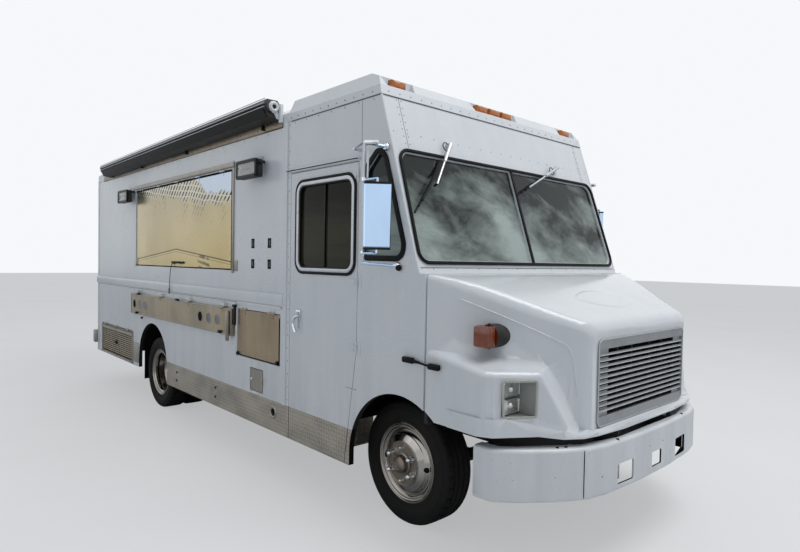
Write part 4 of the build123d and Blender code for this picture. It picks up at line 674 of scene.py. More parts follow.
def block(low, high, soft=0.0, steps=2):
    """Block between two corners, with rounded edges."""
    shape = bmesh.new()
    low, high = Vector(low), Vector(high)
    place = Matrix.Translation((low + high) / 2) @ Matrix.Diagonal((*(abs(c) for c in high - low), 1))
    bmesh.ops.create_cube(shape, size=1, matrix=place)
    return soften(shape, soft, steps) if soft else shape


def turned_to(way):
    """Turn that takes Z to a direction."""
    return Vector((0, 0, 1)).rotation_difference(Vector(way)).to_matrix().to_4x4()


def rod(start, end, radius, end_radius=None, sides=20, soft=0.0):
    """Round bar or cone between two points."""
    shape = bmesh.new()
    way = Vector(end) - Vector(start)
    place = Matrix.Translation((Vector(start) + Vector(end)) / 2) @ turned_to(way)
    bmesh.ops.create_cone(shape, cap_ends=True, segments=sides, radius1=radius,
                          radius2=radius if end_radius is None else end_radius, depth=way.length,
                          matrix=place)
    return soften(shape, soft, 2, 0.9) if soft else shape


def sheet_face(points, radius=0.0, steps=6):
    """Flat face inside an outline, its corners rounded."""
    shape = bmesh.new()
    face = shape.faces.new([shape.verts.new(Vector(p)) for p in points])
    if radius:
        bmesh.ops.bevel(shape, geom=face.verts[:], offset=radius, offset_type="OFFSET", segments=steps,
                        profile=0.5, affect="VERTICES", clamp_overlap=True, material=-1)
    return shape


def raised(shape, way):
    """Gives a flat sheet its thickness."""
    flat = shape.faces[:]
    grown = bmesh.ops.extrude_face_region(shape, geom=flat, use_keep_orig=True)
    moved = [v for v in grown["geom"] if isinstance(v, bmesh.types.BMVert)]
    bmesh.ops.translate(shape, vec=Vector(way), verts=moved)
    bmesh.ops.recalc_face_normals(shape, faces=shape.faces[:])
    return shape


def plate(points, way, radius=0.0, soft=0.0, steps=6):
    """Flat plate with rounded corners."""
    shape = raised(sheet_face(points, radius, steps), way)
    return soften(shape, soft, 2) if soft else shape


def ring(points, width, way, radius=0.0, soft=0.0, steps=8):
    """Frame along the inside of an outline."""
    shape = sheet_face(points, radius, steps)
    border = set(bmesh.ops.inset_region(shape, faces=shape.faces[:], thickness=width, use_even_offset=True,
                                          use_boundary=True)["faces"])
    bmesh.ops.delete(shape, geom=[f for f in shape.faces if f not in border], context="FACES")
    raised(shape, way)
    return soften(shape, soft, 3) if soft else shape


def lathe(profile, centre, way, steps=48):
    """Turned shape from (radius, along) points about an axis."""
    shape = bmesh.new()
    verts = [shape.verts.new((r, 0, h)) for r, h in profile]
    edges = [shape.edges.new(pair) for pair in zip(verts, verts[1:])]
    bmesh.ops.spin(shape, geom=verts + edges, axis=(0, 0, 1), cent=(0, 0, 0), angle=2 * pi, steps=steps,
                   use_merge=True)
    bmesh.ops.remove_doubles(shape, verts=shape.verts[:], dist=1e-5)
    bmesh.ops.transform(shape, matrix=Matrix.Translation(Vector(centre)) @ turned_to(way),
                        verts=shape.verts[:])
    bmesh.ops.recalc_face_normals(shape, faces=shape.faces[:])
    return shape


def domes(points, way, radius, height, sides=8):
    """Rivet heads."""
    shape = bmesh.new()
    turn = turned_to(way) @ Matrix.Diagonal((radius, radius, height, 1))
    for point in points:
        bmesh.ops.create_uvsphere(shape, u_segments=sides, v_segments=4, radius=1,
                                  matrix=Matrix.Translation(point) @ turn)
    return shape


def pipe(points, radius, order=3, sides=3, closed=False):
    """Round tube along a smooth line through or near some points."""
    curve = bpy.data.curves.new("line", "CURVE")
    curve.dimensions, curve.bevel_depth, curve.bevel_resolution = "3D", radius, sides
    curve.resolution_u, curve.use_fill_caps = 8, True
    line = curve.splines.new("NURBS" if order > 2 else "POLY")
    line.points.add(len(points) - 1)
    for point, place in zip(line.points, points):
        point.co = (*place, 1)
    line.use_cyclic_u = closed
    if order > 2:
        line.order_u, line.use_endpoint_u = order, not closed
    holder = bpy.data.objects.new("line", curve)
    bpy.context.scene.collection.objects.link(holder)
    bpy.context.view_layer.update()
    mesh = bpy.data.meshes.new_from_object(holder.evaluated_get(bpy.context.evaluated_depsgraph_get()))
    shape = bmesh.new()
    shape.from_mesh(mesh)
    bpy.data.objects.remove(holder)
    bpy.data.curves.remove(curve)
    bpy.data.meshes.remove(mesh)
    return shape


def flipped(shape):
    """Mirror image of a shape on the other side of the vehicle."""
    other = shape.copy()
    bmesh.ops.scale(other, vec=(1, -1, 1), verts=other.verts[:])
    bmesh.ops.reverse_faces(other, faces=other.faces[:])
    return other


def put(name, shape, finish, body="truck", angle=35):
    """Makes one piece of the vehicle from a shape, with its finish and the body that carries it."""
    mesh = bpy.data.meshes.new(name)
    shape.to_mesh(mesh)
    shape.free()
    mesh.shade_smooth()
    mesh.set_sharp_from_angle(angle=radians(angle))
    piece = bpy.data.objects.new(name, mesh)
    bpy.context.scene.collection.objects.link(piece)
    mesh.materials.append(FINISHES[finish])
    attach(piece, body)
    return piece


def skin_of(node, name, finish, body, angle):
    """Smooth-shaded skin that stands for a CAD node, with the node's own shape and its inside faces painted
    dark as painted shade.
    """
    shape = bmesh.new()
    shape.from_mesh(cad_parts[node].data)
    bmesh.ops.remove_doubles(shape, verts=shape.verts[:], dist=1e-5)
    tree = BVHTree.FromBMesh(shape)
    upwards = Vector((0.02, 0.01, 1)).normalized()
    # faces that face down or lie under the part and look into it take the dark finish: painted shade
    for face in shape.faces:
        spot = face.calc_center_median() + face.normal * 0.0005
        covered = face.normal.z < -0.3 or tree.ray_cast(spot, upwards)[0] is not None
        face.material_index = int(covered and tree.ray_cast(spot, face.normal)[0] is not None)
    piece = put(name, shape, finish, body, angle)
    # second finish: dark, painted shade for the inside faces
    piece.data.materials.append(FINISHES["gap and painted shade"])
    level = piece.modifiers.new("even_normals", "WEIGHTED_NORMAL")
    level.keep_sharp = True
    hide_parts(node)


def put_pair(name, shape, finish, body="truck", angle=35):
    """The same piece on both sides of the vehicle."""
    other = flipped(shape)
    put(name + "_right", shape, finish, body, angle)
    put(name + "_left", other, finish, body.replace("right", "left"), angle)


def spread(first, last, count):
    return [first + (last - first) * i / (count - 1) for i in range(count)]


def along(first, last, pitch):
    """Evenly spaced points between two places, about a pitch apart."""
    first, last = Vector(first), Vector(last)
    count = max(2, round((last - first).length / pitch) + 1)
    return [first.lerp(last, i / (count - 1)) for i in range(count)]


TREES = {}


def surface(node, start, way):
    """Where a line from start meets a CAD node."""
    if node not in TREES:
        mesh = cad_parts[node].data
        TREES[node] = BVHTree.FromPolygons([v.co for v in mesh.vertices],
                                           [tuple(f.vertices) for f in mesh.polygons])
    place = TREES[node].ray_cast(Vector(start), Vector(way).normalized())[0]
    if place is None:
        raise ValueError(f"no surface of {node} at {tuple(start)}")
    return place


def eye(centre, wide, high):
    """Points round a wire eye, closed by its pipe. centre gives a point from two offsets."""
    return [centre(wide * cos(a), high * sin(a)) for a in spread(0, 2 * pi * 7 / 8, 8)]


def rectangle(x0, x1, z0, z1, out=0.0):
    """Corners of a rectangle on the right wall."""
    return [on_side(x0, z0, out), on_side(x1, z0, out), on_side(x1, z1, out), on_side(x0, z1, out)]


def face_rectangle(y0, y1, z0, z1):
    """Corners of a rectangle on the raked face of the cab."""
    return [on_face(y0, z0), on_face(y1, z0), on_face(y1, z1), on_face(y0, z1)]


def upright(x, y0, y1, z0, z1):
    """Corners of a rectangle that faces forwards or back."""
    return [at(x, y0, z0), at(x, y1, z0), at(x, y1, z1), at(x, y0, z1)]


def on_wall(x0, x1, z0, z1, out0, out1, soft=0.0):
    """Block on the right wall, between two distances out from it."""
    return block(on_side(x0, z0, out0), on_side(x1, z1, out1), soft)


def on_wall_all(*rows):
    """One shape from blocks on the right wall, each given as for on_wall."""
    return merged(*[on_wall(*row) for row in rows])


def stud(x, z, out0, out1, *form):
    """Round bar that stands out from the right wall, its form given as for rod."""
    return rod(on_side(x, z, out0), on_side(x, z, out1), *form)


class DressNodes(bpy.types.Operator):
    """Make the finishes and give every CAD node its own"""
    bl_idname = "food_truck.dress_nodes"
    bl_label = "Finishes"

    def execute(self, context):
        make_finishes(context.scene.truck_colours, context.scene.truck_sizes.plate_pitch)
        for finish, names in DRESS.items():
            for name in names:
                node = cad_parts[name]
                if not node.material_slots:
                    node.data.materials.append(FINISHES[finish])
                for slot in node.material_slots:
                    slot.material = FINISHES[finish]
        return {"FINISHED"}


class AddWindows(bpy.types.Operator):
    """Add the rubber seals, window frames and wipers"""
    bl_idname = "food_truck.add_windows"
    bl_label = "Windows"

    def execute(self, context):
        width = context.scene.truck_sizes.seal_width
        outline = [on_face(-1.15, 2.437), on_face(1.15, 2.437), on_face(1.168, 1.712), on_face(-1.168, 1.712)]
        seal = ring(outline, width, FACE_OUT * 0.014, 0.09, 0.005)
        bar = plate(face_rectangle(-0.013, 0.013, 1.72, 2.43), FACE_OUT * 0.010, 0, 0.003)
        put("windscreen_seal", merged(seal, bar), "rubber")
        edge = rectangle(-1.023, -0.280, 1.624, 2.324)
        put_pair("door_window_seal", ring(edge, 0.021, OUT * 0.011, 0.1, 0.004), "rubber", "cab_door_right")
        edge = rectangle(-1.003, -0.300, 1.644, 2.304, -0.014)
        put_pair("door_window_frame", ring(edge, 0.026, OUT * 0.026, 0.085, 0.004), "arm metal",
                 "cab_door_right")
        edge = rectangle(-0.978, -0.325, 1.669, 2.279, -0.014)
        rail = on_wall(-0.660, -0.650, 1.67, 2.28, -0.0155, -0.004, 0.002)
        put_pair("door_window_track", merged(ring(edge, 0.010, OUT * 0.016, 0.065, 0.002), rail),
                 "black plastic", "cab_door_right")
        points = [(-0.206, 2.335), (-0.062, 2.462), (0.022, 2.408), (0.216, 1.81), (0.166, 1.727),
                  (-0.206, 1.730)]
        put_pair("quarter_window_seal", ring([on_side(*p) for p in points], 0.036, OUT * 0.010, 0.055, 0.004),
                 "rubber")
        for number, (pivot, arm_end, top, tip, loop) in enumerate((
                ((-0.667, 2.515), (-0.886, 2.217), (-0.765, 2.400), (-1.120, 2.025), (-0.700, 2.497)),
                ((0.640, 2.515), (0.150, 2.300), (0.470, 2.440), (0.004, 2.235), (0.556, 2.481)))):
            arm = pipe([on_face(*pivot, 0.035), on_face(*arm_end, 0.032)], 0.007, 2)
            joint = rod(on_face(*pivot), on_face(*pivot, 0.042), 0.017, 0.013, 16, 0.003)
            shell = pipe([on_face(*pivot, 0.038), on_face(*Vector(pivot).lerp(Vector(arm_end), 0.45), 0.036)],
                         0.0115, 2)
            turns = eye(lambda u, v: on_face(loop[0] + u, loop[1] + v, 0.02), 0.032, 0.032)
            put(f"wiper_arm_{number + 1}", merged(arm, joint, shell), "arm metal")
            put(f"wiper_hose_{number + 1}", pipe(turns, 0.0035, 3, 2, True), "black plastic")

            def over_blade(share, out):
                return on_face(*Vector(top).lerp(Vector(tip), share), out)
            bows = [pipe([over_blade(t, 0.018) for t in (a, (a + b) / 2, b)], 0.006, 3)
                    for a, b in ((0.18, 0.62), (0.45, 0.9))]
            blade = pipe([on_face(*top, 0.008), on_face(*tip, 0.008)], 0.007, 2)
            back = pipe([over_blade(t, 0.026) for t in (0.25, 0.5, 0.8)], 0.008, 3)
            foot = rod(on_face(*arm_end, 0.006), on_face(*arm_end, 0.036), 0.008, 0.006, 12)
            put(f"wiper_blade_{number + 1}", merged(blade, *bows, back, foot), "rubber")
        return {"FINISHED"}


def tyre_shape(x, y, steps, depth):
    """Tyre with four grooves round it, shoulder pockets and sidewall rings, its middle at y."""
    half = [(0.2495, 0.082), (0.2625, 0.0865), (0.2627, 0.0950), (0.2690, 0.0985), (0.2780, 0.1005),
            (0.2795, 0.1035), (0.2850, 0.1045), (0.2868, 0.1030), (0.3040, 0.1095), (0.3220, 0.1125),
            (0.3370, 0.1134), (0.3440, 0.1132), (0.3452, 0.1146), (0.3505, 0.1144), (0.3518, 0.1126),
            (0.3700, 0.1092), (0.3850, 0.1035), (0.3925, 0.0980), (0.3985, 0.0890), (0.4025, 0.0790),
            (0.4032, 0.0660), (0.4032 - depth, 0.0640), (0.4032 - depth, 0.0585), (0.4036, 0.0565),
            (0.4040, 0.0285), (0.4040 - depth, 0.0265), (0.4040 - depth, 0.0205), (0.4040, 0.0185)]
    profile = half + [(r, -h) for r, h in reversed(half)]
    shape = lathe(profile + [half[0]], (0, 0, 0), (0, 0, 1), steps)
    shape.faces.ensure_lookup_table()
    pockets = []
    for face in shape.faces:
        mid = face.calc_center_median()
        turn = round((Vector(mid.xy).to_2d().angle_signed(Vector((1, 0)), 0) / (2 * pi)) * steps - 0.5)
        if hypot(mid.x, mid.y) > 0.395 and 0.064 < abs(mid.z) < 0.094 and turn % 4 == 0:
            pockets.append(face)
    sunk = bmesh.ops.extrude_face_region(shape, geom=pockets)
    bmesh.ops.delete(shape, geom=pockets, context="FACES_ONLY")
    moved = [v for v in sunk["geom"] if isinstance(v, bmesh.types.BMVert)]
    bmesh.ops.scale(shape, vec=(0.985, 0.985, 1), verts=moved)
    place = Matrix.Translation(at(x, y, TYRE_R)) @ Matrix.Rotation(pi / 2, 4, "X")
    bmesh.ops.transform(shape, matrix=place, verts=shape.verts[:])
    return shape


def wheel_nut(x, y, side, angle, radius, size):
    """Dome-topped wheel nut on the wheel's face."""
    place = at(x + radius * cos(angle), y, TYRE_R + radius * sin(angle))
    way = Vector((0, side, 0))
    tall = size * 2.9
    profile = [(TIP, tall), (size * 0.5, tall * 0.97), (size * 0.82, tall * 0.84), (size * 0.95, tall * 0.66),
               (size * 0.98, tall * 0.35), (size * 1.3, tall * 0.2), (size * 1.35, -0.002)]
    six = rod(place, place + way * tall * 0.4, size * 1.12, size * 1.12, 6, 0.001)
    return merged(lathe(profile, place, way, 18), six)


class AddWheels(bpy.types.Operator):
    """Add the treaded tyres and the trims of the wheels"""
    bl_idname = "food_truck.add_wheels"
    bl_label = "Wheels"

    def execute(self, context):
        sizes = context.scene.truck_sizes
        steps, depth = sizes.tyre_steps, sizes.tread_depth
        for side, word in SIDES:
            middle = side * FRONT_WHEEL_Y
            tyre = put(f"front_tread_{word}", tyre_shape(0, middle, steps, depth), "tyre",
                       f"front_wheel_{word}", 28)
            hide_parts(f"front_tyre_{word}")
            outer = side * REAR_OUTER_Y
            pair = merged(tyre_shape(REAR_X, outer, steps, depth),
                          tyre_shape(REAR_X, outer - side * TWIN_SPACING, steps, depth))
            tyres = put(f"rear_treads_{word}", pair, "tyre", f"rear_wheels_{word}", 28)
            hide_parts(f"rear_tyres_{word}")
            way = Vector((0, side, 0))
            for x, lip, face, body in (
                    (0, middle + side * 0.095, middle + side * 0.126, f"front_wheel_{word}"),
                    (REAR_X, outer + side * 0.095, outer - side * 0.117, f"rear_wheels_{word}")):
                nuts = [wheel_nut(x, face, side, radians(a), NUT_CIRCLE, 0.0185) for a in (30, 150, 210, 330)]
                nuts += [wheel_nut(x, face, side, radians(a), NUT_CIRCLE, 0.0105) for a in (90, 270)]
                profile = [(0.2610, 0.0), (0.2590, 0.0045), (0.2560, 0.0050), (0.2530, 0.0030),
                           (0.2500, -0.0010), (0.2470, 0.0012), (0.2440, -0.0020), (0.2330, -0.0050),
                           (0.2300, -0.0040), (0.2200, -0.0100), (0.2140, -0.0160)]
                if not x:
                    profile += [(0.2080, -0.0150), (0.2000, -0.0040), (0.1900, 0.0045)]
                edge = lathe(profile, at(x, lip, TYRE_R), way, 96)
                rings = [lathe([(r - 0.0035, -0.003), (r - 0.003, 0.0025), (r, 0.0042), (r + 0.003, 0.0025),
                                (r + 0.0035, -0.003), (r - 0.0035, -0.003)], at(x, face, TYRE_R), way, 72)
                         for r in (0.1445, 0.136)]
                cap = lathe([(0.0755, -0.002), (0.0755, 0.006), (0.070, 0.0085), (0.066, 0.006),
                             (0.064, 0.004)], at(x, face, TYRE_R), way, 48)
                stem = rod(at(x + 0.155, lip - side * 0.03, TYRE_R - 0.155),
                           at(x + 0.15, lip + side * 0.004, TYRE_R - 0.15), 0.004, 0.003, 12)
                end = "rear" if x else "front"
                put(f"wheel_nuts_{end}_{word}", merged(*nuts), "bright nuts", body)
                put(f"wheel_trim_{end}_{word}", merged(edge, *rings, cap, stem), "wheel polish", body)
                if not x:
                    # dark discs in the wheel's hand holes: painted shade inside the holes
                    hole_shades = [lathe([(TIP, 0.0028), (0.016, 0.0025), (0.018, -0.003)],
                                   at(k * 0.197, middle + side * 0.098, TYRE_R), (k * 0.35, side, 0), 28)
                             for k in (-1, 1)]
                    put(f"hand_hole_shades_{word}", merged(*hole_shades), "gap and painted shade", body)
            front = middle + side * (0.126 + 0.058)
            crown = lathe([(TIP, 0.0012), (0.018, 0.001), (0.020, -0.001), (0.031, 0.0003), (0.034, -0.003)],
                          at(0, front, TYRE_R), way, 40)
            put(f"hub_crown_{word}", crown, "wheel polish", f"front_wheel_{word}")
        return {"FINISHED"}


class AddServingSide(bpy.types.Operator):
    """Add the trims of the hatch, shelf, panels and grille on the serving side"""
    bl_idname = "food_truck.add_serving_side"
    bl_label = "Serving side"

    def execute(self, context):
        flashing = plate(rectangle(-4.645, -2.030, 2.538, 2.585), OUT * 0.019, 0, 0.006)
        flashing = merged(flashing, on_wall(-2.064, -2.036, 1.60, 2.54, 0, 0.012, 0.004))
        put("hatch_flashing", flashing, "plain sheet")
        put("hatch_gasket", on_wall_all(
            (-4.604, -2.066, 2.508, 2.522, 0.001, 0.007, 0.002),
            (-2.084, -2.070, 1.632, 2.508, 0.001, 0.008, 0.002),
            (-4.600, -2.070, 1.629, 1.637, 0.001, 0.005, 0.001)), "gap and painted shade", "serving_hatch")
        brackets = []
        for x in (-2.052, -4.640):
            brackets.append(plate(rectangle(x - 0.012, x + 0.088, 1.618, 1.716), OUT * 0.0045, 0.012, 0.0012))
            spots = [on_side(x + dx, z, 0.0045) for dx in (0.012, 0.040, 0.068) for z in (1.640, 1.694)]
            brackets.append(domes(spots, OUT, 0.006, 0.003))
        put("hatch_corner_plates", merged(*brackets), "plain sheet")
        bar = plate(rectangle(-3.470, -3.150, 1.668, 1.690), OUT * 0.012, 0.004, 0.002)
        grip = pipe([on_side(-3.40, 1.68, 0.004), on_side(-3.38, 1.676, 0.040), on_side(-3.31, 1.662, 0.046),
                     on_side(-3.24, 1.676, 0.040), on_side(-3.22, 1.68, 0.004)], 0.007)
        hook = pipe([on_side(-3.44, 1.672, 0.012), on_side(-3.452, 1.60, 0.026), on_side(-3.448, 1.47, 0.034),
                     on_side(-3.456, 1.40, 0.034)], 0.0035)
        loop = pipe(eye(lambda u, v: on_side(-3.456 + u, 1.372 + v, 0.034), 0.016, 0.03), 0.0035, 3, 2, True)
        put("hatch_handle", merged(bar, grip, hook, loop), "black plastic", "serving_hatch")
        face = 0.031
        discs, rims = [], []
        for x in (-4.566, -4.388, -4.206, -2.670, -2.481, -2.297):
            centre = on_side(x, 1.165, face)
            rims.append(lathe(
                [(0.047, -0.001), (0.0475, 0.0025), (0.050, 0.0032), (0.0545, 0.002), (0.055, -0.001)],
                centre, OUT, 40))
            discs.append(lathe([(TIP, 0.0012), (0.046, 0.0012), (0.048, -0.001)], centre, OUT, 40))
        put("shelf_rings", merged(*rims), "plain sheet", "drop_shelf")
        put("shelf_plugs", merged(discs[0], discs[3]), "gap and painted shade", "drop_shelf")
        put("shelf_caps", merged(discs[1], discs[2], discs[4], discs[5]), "cap grey", "drop_shelf")
        clips = []
        for x, z, wide, tall in ((-4.405, 1.292, 0.035, 0.012), (-3.224, 1.292, 0.035, 0.012),
                                 (-4.476, 1.062, 0.022, 0.014), (-2.227, 1.062, 0.026, 0.014)):
            clips.append(on_wall(x - wide, x + wide, z - tall, z + tall, face, face + 0.018, 0.004))
            clips.append(rod(on_side(x - wide * 0.6, z, face + 0.021),
                             on_side(x + wide * 0.6, z, face + 0.021), 0.005))
        put("shelf_latches", merged(*clips), "black plastic", "drop_shelf")
        edge = ring(rectangle(-4.696, -2.006, 1.046, 1.284, face), 0.014, OUT * 0.003, 0.006, 0.001, 3)
        put("shelf_hem", edge, "plain sheet", "drop_shelf")
        leg = on_wall_all((-2.086, -2.048, 0.995, 1.262, 0.033, 0.052, 0.004),
                          (-2.080, -2.054, 1.002, 1.255, 0.052, 0.057, 0.002))
        put("shelf_leg", leg, "plain sheet", "drop_shelf")
        slide = on_wall_all((-1.990, -1.966, 1.145, 1.318, 0.0, 0.028, 0.004),
                            (-1.996, -1.955, 1.30, 1.325, 0.0, 0.036, 0.004))
        knob = stud(-4.379, 1.006, 0, 0.022, 0.013, 0.010, 16, 0.003)
        put("shelf_stay", merged(slide, knob), "black plastic")
        x0, x1, z0, z1 = -1.946, -1.238, 0.885, 1.291
        put("panel_frame", on_wall_all(
            (x0 - 0.032, x0 - 0.006, z0 - 0.01, z1 + 0.03, 0, 0.009, 0.003),
            (x0 - 0.006, x1 + 0.02, z1 + 0.040, z1 + 0.066, 0, 0.009, 0.003)), "body paint")
        put("panel_gasket", on_wall_all(
            (x0 + 0.004, x1 - 0.004, z0 + 0.004, z0 + 0.009, 0.0, 0.004, 0.001),
            (x1 - 0.011, x1 - 0.004, z0 + 0.004, z1 - 0.03, 0.0, 0.005, 0.001)), "gap and painted shade", "access_panel")
        locks = []
        for x, z in ((-1.940, 0.902), (-1.272, 0.906)):
            locks.append(stud(x, z, 0, 0.016, 0.015, 0.012, 20, 0.003))
            locks.append(on_wall(x - 0.004, x + 0.020, z - 0.016, z - 0.008, 0.014, 0.019, 0.002))
        put("panel_latches", merged(*locks), "black plastic", "access_panel")
        lock = merged(stud(-1.690, 0.712, 0, 0.007, 0.013, 0.012, 24, 0.002),
                      stud(-1.690, 0.712, 0.007, 0.0085, 0.007, 0.007, 16))
        put("small_hatch_lock", lock, "chrome", "small_hatch")
        hem = ring(rectangle(-1.712, -1.508, 0.627, 0.800), 0.008, OUT * 0.0025, 0.004, 0.0008, 3)
        put("small_hatch_hem", hem, "plain sheet", "small_hatch")
        x0, x1, z0, z1 = -6.009, -4.705, 0.400, 0.812
        hem = ring(rectangle(x0 + 0.006, x1 - 0.006, z0 + 0.006, z1 - 0.034), 0.024, OUT * 0.007, 0.004,
                   0.002, 3)
        latch = merged(stud(-5.372, 0.600, -0.004, 0.010, 0.030, 0.026, 24, 0.003),
                       on_wall(-5.410, -5.334, 0.592, 0.608, 0.008, 0.020, 0.004))
        put("vent_door_hem", hem, "plain sheet", "vent_door")
        put("vent_door_latch", latch, "black plastic", "vent_door")
        wires = []
        for start in spread(x0 - 0.25, x1 - 0.07, 30):
            low = Vector((max(start, x0 + 0.045), z0 + 0.045 + max(0.0, x0 + 0.045 - start)))
            high = Vector((min(start + 0.325, x1 - 0.045), z0 + 0.045 + min(0.325, x1 - 0.045 - start)))
            if high.x - low.x > 0.03:
                ends = [on_side(end.x, end.y, -0.021) for end in (low, high)]
                wires.append(rod(*ends, 0.0025, 0.0025, 6))
        put("vent_door_mesh", merged(*wires), "plain sheet", "vent_door")
        # dark sheet behind the vent's mesh: painted shade inside the vent
        put("vent_shade", on_wall(x0 + 0.035, x1 - 0.035, z0 + 0.035, z1 - 0.035, -0.038, -0.035, 0.001),
            "gap and painted shade", "vent_door")
        tail = plate(rectangle(-4.696, -4.502, 0.446, 0.690), OUT * 0.004, 0.006, 0.001)
        spots = [on_side(x, z, 0.004) for x in (-4.68, -4.52) for z in (0.465, 0.57, 0.67)]
        put("arch_plate", merged(tail, domes(spots, OUT, 0.006, 0.003)), "plain sheet")
        bolts = [stud(x, z, 0, 0.008, 0.012, 0.010, 6, 0.002)
                 for x in (-3.316, -2.385) for z in (0.518, 0.431)]
        put("skirt_bolts", merged(*bolts), "black plastic")
        skirt = [p for z in (0.575, 0.362) for p in along(on_side(-3.44, z), on_side(-1.17, z), 0.19)]
        put_pair("skirt_rivets", domes(skirt, OUT, 0.005, 0.003), "plain sheet")
        filler = lathe([(0.030, -0.018), (0.031, 0.002), (0.036, 0.006), (0.047, 0.006), (0.052, 0.002),
                        (0.053, -0.001)], on_side(-1.331, 0.5), OUT, 40)
        cap = lathe([(TIP, -0.010), (0.006, -0.008), (0.012, -0.012), (0.029, -0.014), (0.0295, -0.019)],
                    on_side(-1.331, 0.5), OUT, 32)
        put("filler_ring", filler, "plain sheet")
        put("filler_cap", cap, "gap and painted shade")
        return {"FINISHED"}


class AddAwning(bpy.types.Operator):
    """Add the rail, piping, end fittings and clips of the rolled awning"""
    bl_idname = "food_truck.add_awning"
    bl_label = "Awning"

    def execute(self, context):
        x0, x1, middle = -5.600, -1.262, -3.431

        def case(x, out, z):
            return on_side(x, z + (x - middle) * AWNING_SLOPE, out)
        rail = plate([at(x0 - 0.32, -SIDE, 2.752), at(x0 - 0.32, -SIDE - 0.012, 2.760),
                      at(x0 - 0.32, -SIDE - 0.012, 2.812),
                      at(x0 - 0.32, -SIDE, 2.836)], Vector((x1 - x0 + 0.36, 0, 0)), 0, 0.003)
        put("awning_wall_rail", rail, "roof rail")
        put("rail_rivets", domes(along(at(x0 - 0.2, -SIDE - 0.012, 2.786),
                                       at(x1 - 0.05, -SIDE - 0.012, 2.786), 0.3), OUT, 0.006,
                                 0.004), "gap and painted shade")
        lines = [pipe([case(x0 + 0.002, out, z), case(x1 - 0.002, out, z)], r, 2)
                 for out, z, r in ((0.140, 2.9445, 0.0035), (0.1475, 2.9105, 0.003), (0.1475, 2.8815, 0.003))]
        put("awning_piping", merged(*lines), "arm metal")
        flap = plate([case(x0 + 0.03, 0.104, 2.812), case(x1 - 0.03, 0.104, 2.812),
                      case(x1 - 0.03, 0.142, 2.872),
                      case(x0 + 0.03, 0.142, 2.872)], Vector((0, -0.004, -0.002)), 0, 0.001)
        put("awning_flap", flap, "awning cloth")
        ends = []
        for x, way in ((x1, 1), (x0, -1)):
            hub = case(x + way * 0.016, 0.071, AWNING_HUB_Z)
            ends.append(lathe([(0.016, 0.002), (0.020, 0.010), (0.030, 0.013), (0.040, 0.008), (0.0445, 0.0),
                               (0.045, -0.014)], hub, (way, 0, 0), 36))
            ends.append(plate([case(x, 0.040, 2.874), case(x, 0.086, 2.874), case(x, 0.040, 2.800),
                               case(x, 0.010, 2.800)], Vector((way * 0.012, 0, 0)), 0.006, 0.002))
        ends.append(block(at(x1 + 0.012, -SIDE - 0.030, 2.792), at(x1 + 0.045, -SIDE - 0.002, 2.935), 0.006))
        put("awning_end_fittings", merged(*ends), "body paint")
        pins = [lathe([(TIP, 0.006), (0.008, 0.005), (0.012, 0.001), (0.016, 0.001)],
                      case(x + way * 0.016, 0.071, AWNING_HUB_Z), (way, 0, 0),
                      20) for x, way in ((x1, 1), (x0, -1))]
        clips = [on_wall(x - 0.007, x + 0.007, 2.770, 2.812, 0.010, 0.040, 0.003)
                 for x in (-1.50, -3.05, -4.35, -5.45)]
        put("awning_clips", merged(*pins, *clips), "black plastic")
        return {"FINISHED"}


